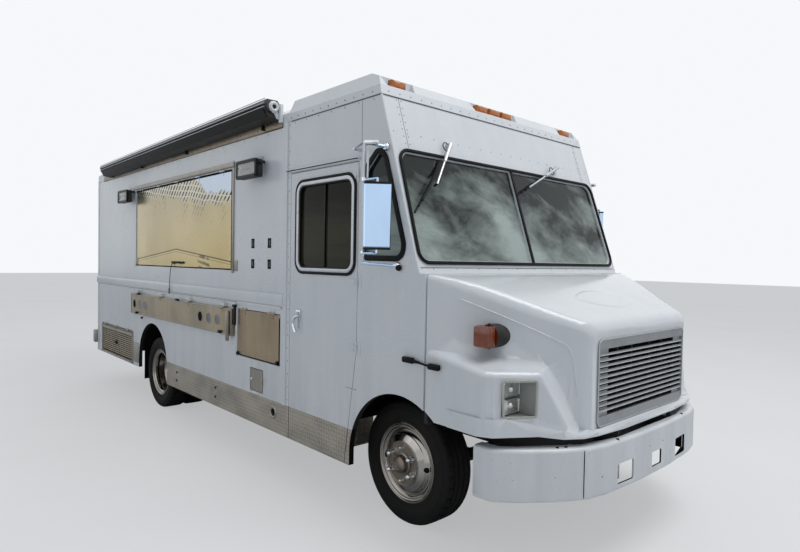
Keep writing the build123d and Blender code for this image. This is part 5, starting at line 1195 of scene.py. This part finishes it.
class AddLamps(bpy.types.Operator):
    """Add the lenses, bowls and frames of all the lamps"""
    bl_idname = "food_truck.add_lamps"
    bl_label = "Lamps"

    def execute(self, context):
        for number, x in enumerate(FLOOD_X):
            frame_ring = ring(rectangle(x - 0.173, x + 0.173, 2.387, 2.538, 0.096), 0.027, OUT * 0.022, 0.024,
                              0.004)
            knob = stud(x + 0.110, 2.520, 0.006, 0.040, 0.013, 0.011, 16, 0.003)
            away = 1 if number == 0 else -1
            knob_side = rod(on_side(x + away * 0.172, 2.50, 0.08), on_side(x + away * 0.190, 2.50, 0.08),
                            0.014, 0.012, 16, 0.003)
            put(f"flood_frame_{number + 1}", merged(frame_ring, knob, knob_side), "black plastic")
            bowl = plate(rectangle(x - 0.148, x + 0.148, 2.412, 2.513, 0.1105), OUT * 0.001, 0.018)
            put(f"flood_bowl_{number + 1}", bowl, "flood bowl")
            glass = plate(rectangle(x - 0.147, x + 0.147, 2.413, 2.512, 0.1118), OUT * 0.0035, 0.018, 0.001)
            bulb = pipe([on_side(x - 0.07, 2.462, 0.1125), on_side(x + 0.07, 2.462, 0.1125)], 0.006, 2)
            put(f"flood_glass_{number + 1}", merged(glass, bulb), "clear lens")
        for side, word in SIDES:
            low, high = sorted((side * 0.940, side * 1.092))
            middle = (low + high) / 2
            for tier, z, pane in (("low", 0.961, "lamp bowl"), ("high", 1.051, "clear lens")):
                outline = upright(0.872, low + 0.003, high - 0.003, z - 0.042, z + 0.042)
                rim = ring(outline, 0.008, Vector((0.012, 0, 0)), 0.012, 0.003)
                put(f"lamp_frame_{tier}_{word}", rim, "chrome", "tilt_hood")
                corners = [p + Vector((0.001, (middle - p.y) * 0.08, (z - p.z) * 0.12)) for p in outline]
                glass = plate(corners, Vector((0.007, 0, 0)), 0.012, 0.003)
                put(f"lamp_glass_{tier}_{word}", glass, pane, "tilt_hood")
                dot = lathe([(TIP, 0.012), (0.012, 0.010), (0.020, 0.004), (0.022, -0.002)],
                            at(0.878, middle, z), (1, 0, 0), 24)
                put(f"lamp_bulb_{tier}_{word}", dot, "lamp bowl", "tilt_hood")
            corner = [surface("hood", p, (-1, 0, 0)) + Vector((0.001, 0, 0))
                      for p in upright(1.6, side * 0.931, side * 1.101, 0.903, 1.109)]
            flat = sum(corner, Vector()) / 4
            normal = (corner[2] - corner[0]).cross(corner[1] - corner[3]).normalized()
            normal *= 1 if normal.x > 0 else -1
            corner = [p - normal * (p - flat).dot(normal) for p in corner]
            put(f"lamp_bezel_{word}", ring(corner, 0.013, normal * 0.005, 0.018, 0.002), "bezel", "tilt_hood")
            x, z = 0.704, 1.318
            cover = block(at(x - 0.052, side * 1.004, z - 0.059), at(x + 0.052, side * 1.076, z + 0.059),
                          0.010)
            put(f"signal_lens_{word}", cover, "signal lens", "tilt_hood")
            bands = []
            for y in (side * 1.026, side * 1.050):
                outline = [at(x - 0.0525, y, z - 0.0595), at(x + 0.0525, y, z - 0.0595),
                           at(x + 0.0525, y, z + 0.0595), at(x - 0.0525, y, z + 0.0595)]
                bands.append(ring(outline, 0.003, Vector((0, side * 0.003, 0)), 0.008, 0.0006))
            ears = [rod(at(x, side * 0.992, ear), at(x, side * 1.004, ear), 0.012, 0.010, 16, 0.002)
                    for ear in (z - 0.062, z + 0.062)]
            put(f"signal_bands_{word}", merged(*bands, *ears), "black plastic", "tilt_hood")
            for tier, z, pane in (("low", 0.900, "red lens"), ("high", 1.060, "amber lens")):
                dome = lathe([(TIP, 0.034), (0.020, 0.036), (0.044, 0.033), (0.050, 0.026), (0.053, 0.018),
                              (0.058, 0.012), (0.060, 0.0)], at(BACK_X, side * 1.010, z), (-1, 0, 0), 40)
                put(f"tail_lens_{tier}_{word}", dome, pane)
        lips = []
        for y in MARKER_Y:
            low, high = at(-0.1245, y - 0.062, 2.8535), at(-0.1185, y + 0.062, 2.9115)
            lips.append(block(low, high, 0.003))
        put("marker_bases", merged(*lips), "black plastic")
        covers = [block(at(-0.1225, y - 0.059, 2.8545), at(-0.0755, y + 0.059, 2.9100), 0.019, 4)
                  for y in MARKER_Y]
        put("marker_lenses", merged(*covers), "amber lens")
        return {"FINISHED"}


class AddNose(bpy.types.Operator):
    """Add the details of the hood, grille and front bumper"""
    bl_idname = "food_truck.add_nose"
    bl_label = "Nose"

    def execute(self, context):
        skin_of("front_bumper", "bumper_skin", "bumper paint", "truck", 32)
        skin_of("hood", "hood_skin", "hood paint", "tilt_hood", 32)
        mesh_bars = [block(at(1.086, y - 0.0015, 0.875), at(1.089, y + 0.0015, 1.252))
                     for y in spread(-0.55, 0.55, 56)]
        mesh_bars += [block(at(1.0835, -0.555, z - 0.0015), at(1.0865, 0.555, z + 0.0015))
                      for z in spread(0.88, 1.248, 20)]
        put("grille_mesh", merged(*mesh_bars), "grille mesh", "tilt_hood")
        levels = spread(0.873, 1.254, 13)[1:-1]
        edges = [pipe([at(1.1355, -0.553, z - 0.0045), at(1.1355, 0.553, z - 0.0045)], 0.0026, 2, 2)
                 for z in levels]
        put("slat_edges", merged(*edges), "slat edge", "tilt_hood")
        # thin dark strips between the slats at the grille's ends: painted shade where gaps would be
        gap_shades = [block(at(1.1262, 0.4385, z + 0.0065), at(1.1268, 0.551, z + 0.0250)) for z in levels[:-1]]
        gap_shades += [block(at(1.1262, -0.4415, z + 0.0140), at(1.1268, -0.551, z + 0.0235)) for z in levels[:-1]]
        put("slat_gap_shades", merged(*gap_shades), "gap and painted shade", "tilt_hood")
        put("grille_shade", block(at(1.076, -0.560, 0.860), at(1.079, 0.560, 1.262), 0.001), "gap and painted shade",
            "tilt_hood")
        outline = upright(1.138, -0.5695, 0.5695, 0.8155, 1.3115)
        put("grille_lip", ring(outline, 0.006, Vector((0.003, 0, 0)), 0.04, 0.001), "arm metal", "tilt_hood")
        creases = []
        for side in (-1, 1):
            line = [(0.538, 1.061, 1.519), (0.723, 0.927, 1.435), (0.880, 0.815, 1.357),
                    (1.000, 0.727, 1.296), (1.040, 0.698, 1.262), (1.058, 0.685, 1.150),
                    (1.075, 0.673, 1.000)]
            spots = [surface("hood", at(x, side * (y + 0.25), z), (0, -side, 0)) for x, y, z in line]
            creases.append(pipe(spots, 0.0045, 3))
        put("hood_creases", merged(*creases), "hood paint", "tilt_hood")
        pad = bmesh.new()
        bmesh.ops.create_grid(pad, x_segments=24, y_segments=12, size=0.5)
        for vert in pad.verts:
            u, v = vert.co.x * 2, vert.co.y * 2
            reach = max(0.0, 1 - v * v)
            y, x = v * 0.34, 0.86 + u * 0.11 * reach + 0.02 * v
            spot = surface("hood", at(x, y, 2.0), (0, 0, -1))
            vert.co = spot + Vector((0, 0, 0.0035 * min(1.0, 4 * reach * (1 - u * u)) + 0.0003))
        bmesh.ops.remove_doubles(pad, verts=pad.verts[:], dist=1e-4)
        put("hood_pad", pad, "hood paint", "tilt_hood")
        for side, word in SIDES:
            y = side * 1.1725
            out = Vector((0, side, 0))
            anchor = block(at(0.205, side * SIDE, 1.124), at(0.300, side * (SIDE + 0.026), 1.160), 0.010, 3)
            nub = rod(at(0.300, side * (SIDE + 0.015), 1.142), at(0.345, side * (SIDE + 0.015), 1.139), 0.010,
                      0.008, 14)
            put(f"latch_anchor_{word}", merged(anchor, nub), "rubber")
            foot = block(at(0.416, y, 1.110), at(0.505, y + side * 0.030, 1.146), 0.011, 3)
            strap = pipe([at(0.420, y, 1.130) + out * 0.020, at(0.384, y, 1.134) + out * 0.022,
                          at(0.350, y, 1.138) + out * 0.024], 0.0065, 3)
            put(f"latch_strap_{word}", merged(foot, strap), "rubber", "tilt_hood")
        seams = []
        for side in (-1, 1):
            spots = []
            for z in spread(0.472, 0.728, 6):
                way = Vector((-0.62, -side * 0.78, 0))
                spots.append(surface("front_bumper", at(1.160, side * 0.735, z) - way * 0.5, way))
            seams.append(pipe(spots, 0.0028, 2))
        put("bumper_joints", merged(*seams), "gap and painted shade")
        screws = [domes([surface("front_bumper", at(x, side * y, 0.9), (0, 0, -1))], (0, 0, 1), 0.010, 0.006)
                  for x, y in ((1.085, 0.80), (1.062, 0.845), (1.195, 0.44)) for side in (-1, 1)]
        put("bumper_bolts", merged(*screws), "gap and painted shade")
        line = plate(face_rectangle(-1.16, 1.16, 1.692, 1.696), FACE_OUT * 0.0015)
        put("cowl_line", line, "seam")
        return {"FINISHED"}


class AddTrims(bpy.types.Operator):
    """Add the rivets, seams, rails and door furniture of the body"""
    bl_idname = "food_truck.add_trims"
    bl_label = "Body trims"

    def execute(self, context):
        sizes = context.scene.truck_sizes
        r, pitch, seam = sizes.rivet_radius, sizes.rivet_pitch, sizes.seam_width
        rows = []
        for start, end, out, gap in (((-1.10, 2.812), (-0.13, 2.812), 0.006, pitch),
                                     ((-1.122, 0.64), (-1.122, 2.76), 0, pitch),
                                     ((BACK_X + 0.03, 0.86), (BACK_X + 0.03, 2.72), 0, 0.15),
                                     ((BACK_X + 0.10, 2.735), (-1.25, 2.735), 0, 0.2),
                                     ((BACK_X + 0.10, 1.335), (-1.25, 1.335), 0, 0.24),
                                     ((-1.05, 2.765), (-0.12, 2.765), 0, 0.16)):
            rows += along(on_side(*start, out), on_side(*end, out), gap)
        rivets = domes(rows, OUT, r, r * 0.5)
        put_pair("wall_rivets", rivets, "rivet dirt and shade", "truck", 60)
        face_rows = [at(COWL_X - RAKE * (2.812 - COWL_Z) + 0.0075, y, 2.812) for y in spread(-1.12, 1.12, 24)]
        face_rows += [on_face(y, 2.545) for y in spread(-1.145, 1.145, 20)]
        for y in (-1.062, 1.062, -1.022, 1.022):
            face_rows += [on_face(y, z) for z in spread(2.475, 2.765, 7)]
        face_rows += [on_face(y, 1.688) for y in spread(-1.05, 1.05, 11)]
        put("face_rivets", domes(face_rows, FACE_OUT, r * 0.8, r * 0.5), "rivet dirt and shade", "truck", 60)
        lines = []
        for y in (-1.042, 1.042):
            lines.append(plate(face_rectangle(y - seam / 2, y + seam / 2, 2.45, 2.785), FACE_OUT * 0.0008))
        lines.append(plate(face_rectangle(-1.179, 1.179, 2.7795, 2.7865), FACE_OUT * 0.004))
        put("face_seams", merged(*lines), "seam")
        put_pair("side_seams", on_wall_all(
            (-1.10, -0.048, 2.7795, 2.7865, 0, 0.003), (-0.2365, -0.2335, 2.50, 2.775, 0, 0.0008),
            (-0.375, -0.255, 0.868, 0.871, 0, 0.0008), (BACK_X + 0.01, -1.19, 1.3475, 1.3505, 0, 0.0012),
            (BACK_X + 0.04, -5.93, 2.7655, 2.7695, 0, 0.002)), "seam")
        put_pair("box_corner_strip", block(at(BACK_X - 0.002, -SIDE - 0.004, 0.41),
                                           at(BACK_X + 0.052, -SIDE + 0.002, 2.785), 0.002), "body paint")
        drip = on_wall_all((-1.139, -0.245, 2.395, 2.409, 0.0, 0.020, 0.003),
                           (-1.139, -0.245, 2.392, 2.414, 0.016, 0.020, 0.0015))
        put_pair("door_drip_rail", drip, "body paint")
        base = plate(rectangle(-0.992, -0.932, 1.262, 1.352, 0.005), OUT * 0.012, 0.014, 0.004)
        lock = stud(-0.962, 1.326, 0.012, 0.030, 0.013, 0.011, 20, 0.003)
        neck = pipe([on_side(-0.962, 1.300, 0.010), on_side(-0.962, 1.302, 0.036),
                     on_side(-0.960, 1.292, 0.044)], 0.010)
        grip = pipe([on_side(-0.918, 1.312, 0.036), on_side(-0.958, 1.306, 0.042),
                     on_side(-0.984, 1.270, 0.044), on_side(-0.976, 1.222, 0.044),
                     on_side(-0.952, 1.186, 0.040)], 0.0095)
        put_pair("door_handle", merged(base, lock, neck, grip), "chrome", "cab_door_right")
        straps = []
        for z in (1.150, 1.588, 2.292):
            straps.append(on_wall(-0.330, -0.284, z - 0.020, z + 0.020, 0.001, 0.007, 0.002))
            straps.append(domes([on_side(x, z + dz, 0.007) for x in (-0.318, -0.298)
                                 for dz in (-0.011, 0.011)], OUT, 0.004, 0.002))
        put_pair("door_hinge_straps", merged(*straps), "body paint", "cab_door_right")
        # dark sheets set into the wall slots are painted shade inside the slots; the rings round them are
        # dark bezels
        slots = [on_wall(x - 0.010, x + 0.010, z0 + 0.001, z1 - 0.001, -0.010, -0.008, 0.001)
                 for x, z0, z1 in SLOT_ROWS]
        slots += [ring(rectangle(x - 0.023, x + 0.023, z0 - 0.006, z1 + 0.006), 0.013, OUT * 0.004, 0.004,
                       0.001, 3)
                  for x, z0, z1 in SLOT_ROWS]
        put("wall_slot_bezels_and_shade", merged(*slots), "gap and painted shade")
        rail = [(0, 1.360), (0.013, 1.359), (0.021, 1.372), (0.022, 1.440), (0.012, 1.456), (0, 1.457)]
        belt = plate([at(BACK_X + 0.006, -SIDE - out, z) for out, z in rail],
                     Vector((-1.184 - BACK_X - 0.006, 0, 0)), 0, 0.005)
        put_pair("belt_rail", belt, "body paint")
        face_bead = pipe([on_face(-SIDE + 0.004, z, -0.004) for z in (1.668, 2.783)], 0.0085, 2)
        back_bead = pipe([at(BACK_X + 0.005, -SIDE + 0.005, z) for z in (0.42, 2.78)], 0.009, 2)
        put_pair("corner_beads", merged(face_bead, back_bead), "body paint")
        step_end = block(at(-6.299, -1.222, 0.505), at(BACK_X - 0.008, -1.152, 0.684), 0.012)
        put_pair("step_end", step_end, "plain sheet")
        return {"FINISHED"}


class AddMirrors(bpy.types.Operator):
    """Add the frames, clamps and stays of the mirrors"""
    bl_idname = "food_truck.add_mirrors"
    bl_label = "Mirrors"

    def execute(self, context):
        turn = Matrix.Rotation(radians(-38), 3, "Z")
        centre = at(0.088, -1.314, 2.0)

        def head(dx, dy, dz):
            return centre + turn @ Vector((dx, dy, dz))
        bands = [raised(sheet_face([head(-0.0245, -0.0825, z), head(0.0245, -0.0825, z),
                                    head(0.0245, 0.0825, z),
                                    head(-0.0245, 0.0825, z)], 0.018), Vector((0, 0, h)))
                 for z, h in ((0.190, 0.013), (-0.203, 0.013))]
        put_pair("mirror_bands", merged(*bands), "black plastic")
        glass = plate([head(-0.0235, -0.070, -0.18), head(-0.0235, 0.070, -0.18), head(-0.0235, 0.070, 0.18),
                       head(-0.0235, -0.070, 0.18)], turn @ Vector((-0.002, 0, 0)), 0.012)
        put_pair("mirror_glass", glass, "chrome")
        x, y = -0.03, -1.326
        clamps = [rod(at(x, y, z - 0.016), at(x, y, z + 0.016), 0.0145, 0.0145, 16, 0.003)
                  for z in (2.225, 1.775)]
        clamps += [rod(at(0.02, -SIDE, 2.44), at(0.02, -SIDE - 0.022, 2.44), 0.026, 0.020, 20, 0.004),
                   rod(at(0.14, -SIDE, 1.70), at(0.14, -SIDE - 0.022, 1.70), 0.026, 0.020, 20, 0.004),
                   rod(at(-0.245, -SIDE, 2.455), at(-0.245, -SIDE - 0.060, 2.455), 0.012, 0.010, 16, 0.003),
                   pipe([at(-0.245, -SIDE - 0.052, 2.455), at(-0.14, -1.28, 2.457), at(x, y, 2.455)], 0.008),
                   rod(at(-0.035, y + 0.01, 2.455), at(0.055, -1.285, 2.450), 0.018, 0.014, 20, 0.004)]
        put_pair("mirror_clamps", merged(*clamps), "chrome")
        tube = merged(pipe([at(x, y, 2.452), at(x, y, 1.718)], 0.0098, 2),
                      pipe([at(x + 0.035, y + 0.004, 2.40), at(x + 0.030, y + 0.004, 2.235)], 0.006, 2))
        put_pair("mirror_tube", tube, "arm metal")
        buffer = lathe([(TIP, 0.030), (0.012, 0.028), (0.019, 0.020), (0.020, 0.008), (0.013, 0.004),
                        (0.012, 0.0)], on_side(0.155, 1.690), OUT, 24)
        put_pair("mirror_buffer", buffer, "rubber")
        return {"FINISHED"}


class AddBack(bpy.types.Operator):
    """Add the seals, handles and lamps of the back, and the seams of the roof and left side"""
    bl_idname = "food_truck.add_back"
    bl_label = "Back and roof"

    def execute(self, context):
        x = BACK_X

        def rear(y, z, out=0.0):
            return at(x - out, y, z)
        for side, word in SIDES:
            edge = upright(x, side * 0.012, side * 0.600, 0.822, 2.465)
            put(f"back_door_hem_{word}", ring(edge, 0.020, Vector((-0.004, 0, 0)), 0.01, 0.0015, 3),
                "body paint", f"back_door_{word}")
            panels = [ring(upright(x, side * 0.10, side * 0.51, z0, z1), 0.012, Vector((-0.003, 0, 0)), 0.04,
                           0.001) for z0, z1 in ((0.92, 1.56), (1.66, 2.36))]
            put(f"back_door_pressing_{word}", merged(*panels), "body paint", f"back_door_{word}")
        bolt = pipe([rear(-0.05, 0.84, 0.022), rear(-0.05, 2.45, 0.022)], 0.008, 2)
        guides = [block(rear(-0.072, z - 0.02, 0.0), rear(-0.028, z + 0.02, 0.030), 0.004)
                  for z in (0.92, 1.40, 2.00, 2.38)]
        lever = [block(rear(-0.070, 1.24, 0.0), rear(-0.030, 1.34, 0.026), 0.006),
                 pipe([rear(-0.05, 1.30, 0.030), rear(-0.09, 1.295, 0.044), rear(-0.20, 1.285, 0.044)],
                      0.009)]
        put("back_door_lock", merged(bolt, *guides, *lever), "arm metal", "back_door_right")
        plate_light = block(rear(-0.10, 0.772, 0.0), rear(0.10, 0.790, 0.026), 0.005)
        put("plate_lamp", plate_light, "black plastic")
        strips = [block(rear(side * 0.99, 2.690, 0.0), rear(side * 1.03, 2.750, 0.033), 0.006)
                  for side in (-1, 1)]
        put("back_bar_lenses", merged(*strips), "red lens")
        places = spread(x + 0.05, JOINT_X - 0.05, 6)[1:-1]
        bow = []
        for place in places:
            bow += along(at(place - 0.02, -0.86, 2.9352), at(place - 0.02, 0.86, 2.9352), 0.11)
        put("roof_rivets", domes(bow, (0, 0, 1), 0.006, 0.003), "roof paint", "truck", 60)
        laps = [block(at(place - 0.002, -0.875, 2.934), at(place + 0.002, 0.875, 2.9358))
                for place in places]
        put("roof_laps", merged(*laps), "seam")
        left = along(at(x + 0.10, SIDE, 2.60), at(-1.25, SIDE, 2.60), 0.24)
        for place in (-2.35, -3.55, -4.75):
            left += along(at(place, SIDE, 1.50), at(place, SIDE, 2.55), 0.12)
            left += along(at(place, SIDE, 0.66), at(place, SIDE, 1.30), 0.12)
        left = [p for p in left if (p - at(REAR_X, SIDE, TYRE_R)).length > 0.6]
        put("left_wall_rivets", domes(left, (0, 1, 0), 0.006, 0.003), "body paint", "truck", 60)
        return {"FINISHED"}


class SetStage(bpy.types.Operator):
    """Add the pale floor, the soft lights, the sky and the camera"""
    bl_idname = "food_truck.set_stage"
    bl_label = "Stage"

    def execute(self, context):
        scene, stage = context.scene, context.scene.truck_stage
        floor = bmesh.new()
        bmesh.ops.create_grid(floor, x_segments=2, y_segments=2, size=60)
        mesh = bpy.data.meshes.new("stage_floor")
        floor.to_mesh(mesh)
        floor.free()
        ground = bpy.data.objects.new("stage_floor", mesh)
        scene.collection.objects.link(ground)
        paint = Paint("pale_floor", Roughness=0.9)
        paint.set(Base_Color=paint.blend(paint.ramp(paint.noise(0.6, 3), 0.3, 0.7), tint("E0E1E2"),
                                         tint("E6E7E8")))
        glow = paint.node("Emission", None, (0.86, 0.87, 0.88, 1), 1.0)
        seen = paint.node("LightPath") * 0.5
        cover = paint.node("MixShader", None, seen, Value(paint, paint.shader.outputs[0]), glow)
        paint.tree.links.new(cover.socket, paint.tree.nodes["Material Output"].inputs["Surface"])
        mesh.materials.append(paint.material)
        world = bpy.data.worlds.new("studio")
        scene.world = world
        world.use_nodes = True
        tree = world.node_tree
        soft = tree.nodes["Background"]
        soft.inputs["Color"].default_value = (0.86, 0.93, 1.0, 1)
        soft.inputs["Strength"].default_value = stage.sky_strength
        seen = tree.nodes.new("ShaderNodeBackground")
        seen.inputs["Color"].default_value = (0.92, 0.94, 0.96, 1)
        seen.inputs["Strength"].default_value = 1.0
        rays = tree.nodes.new("ShaderNodeLightPath")
        either, both = tree.nodes.new("ShaderNodeMath"), tree.nodes.new("ShaderNodeMath")
        either.operation = both.operation = "MAXIMUM"
        mix = tree.nodes.new("ShaderNodeMixShader")
        for source, socket in (
                (rays.outputs["Is Camera Ray"], either.inputs[0]),
                (rays.outputs["Is Glossy Ray"], either.inputs[1]), (either.outputs[0], both.inputs[0]),
                (rays.outputs["Is Transmission Ray"], both.inputs[1]), (both.outputs[0], mix.inputs[0]),
                (soft.outputs[0], mix.inputs[1]), (seen.outputs[0], mix.inputs[2]),
                (mix.outputs[0], tree.nodes["World Output"].inputs["Surface"])):
            tree.links.new(source, socket)
        for name, place, aim, size, power in (
                ("key", (6.0, 1.2, 11.0), (0.8, 0, 1.4), 6.0, stage.key_power),
                ("fill", (-1.0, -11.0, 4.5), (-0.5, 0, 1.3), 7.0, stage.fill_power),
                ("back", (-10.0, 6.0, 7.0), (-1.5, 0, 1.6), 6.0, stage.fill_power)):
            light = bpy.data.lights.new(name, "AREA")
            light.shape, light.size, light.energy = "SQUARE", size, power
            holder = bpy.data.objects.new(name, light)
            scene.collection.objects.link(holder)
            holder.location = place
            holder.rotation_euler = (Vector(aim) - Vector(place)).to_track_quat("-Z", "Y").to_euler()
        camera = bpy.data.cameras.new("photo_camera")
        camera.lens, camera.sensor_width, camera.sensor_fit = stage.lens, 36, "HORIZONTAL"
        yaw, pitch, roll = radians(137.594), radians(-1.4622), radians(0.9766)
        ahead = Vector((cos(pitch) * cos(yaw), cos(pitch) * sin(yaw), sin(pitch)))
        right = ahead.cross(Vector((0, 0, 1))).normalized()
        up = right.cross(ahead)
        right, up = right * cos(roll) + up * sin(roll), up * cos(roll) - right * sin(roll)
        holder = bpy.data.objects.new("photo_camera", camera)
        scene.collection.objects.link(holder)
        turn = Matrix((right, up, -ahead)).transposed().to_4x4()
        holder.matrix_world = Matrix.Translation(at(2.75105, -3.55188, 1.73001)) @ turn
        camera.clip_end = 200
        scene.camera = holder
        scene.view_settings.view_transform = "Standard"
        return {"FINISHED"}


class TruckPanel(bpy.types.Panel):
    bl_idname = "VIEW3D_PT_food_truck"
    bl_label = "Food truck"
    bl_space_type = "VIEW_3D"
    bl_region_type = "UI"
    bl_category = "Food truck"

    def draw(self, context):
        layout = self.layout
        for group in (context.scene.truck_sizes, context.scene.truck_colours, context.scene.truck_stage):
            box = layout.box()
            for name in group.__annotations__:
                box.prop(group, name)
        for operator in OPERATORS:
            layout.operator(operator.bl_idname)


OPERATORS = (SetStage, DressNodes, AddWindows, AddWheels, AddServingSide, AddAwning, AddLamps, AddNose,
             AddTrims, AddMirrors, AddBack)
GROUPS = {"truck_sizes": TruckSizes, "truck_colours": TruckColours, "truck_stage": TruckStage}


def register():
    for cls in (*GROUPS.values(), *OPERATORS, TruckPanel):
        bpy.utils.register_class(cls)
    for name, group in GROUPS.items():
        setattr(bpy.types.Scene, name, PointerProperty(type=group))


def unregister():
    for name in GROUPS:
        delattr(bpy.types.Scene, name)
    for cls in reversed((*GROUPS.values(), *OPERATORS, TruckPanel)):
        bpy.utils.unregister_class(cls)


def main():
    register()
    for operator in OPERATORS:
        group, name = operator.bl_idname.split(".")
        getattr(getattr(bpy.ops, group), name)()


if __name__ == "__main__":
    main()
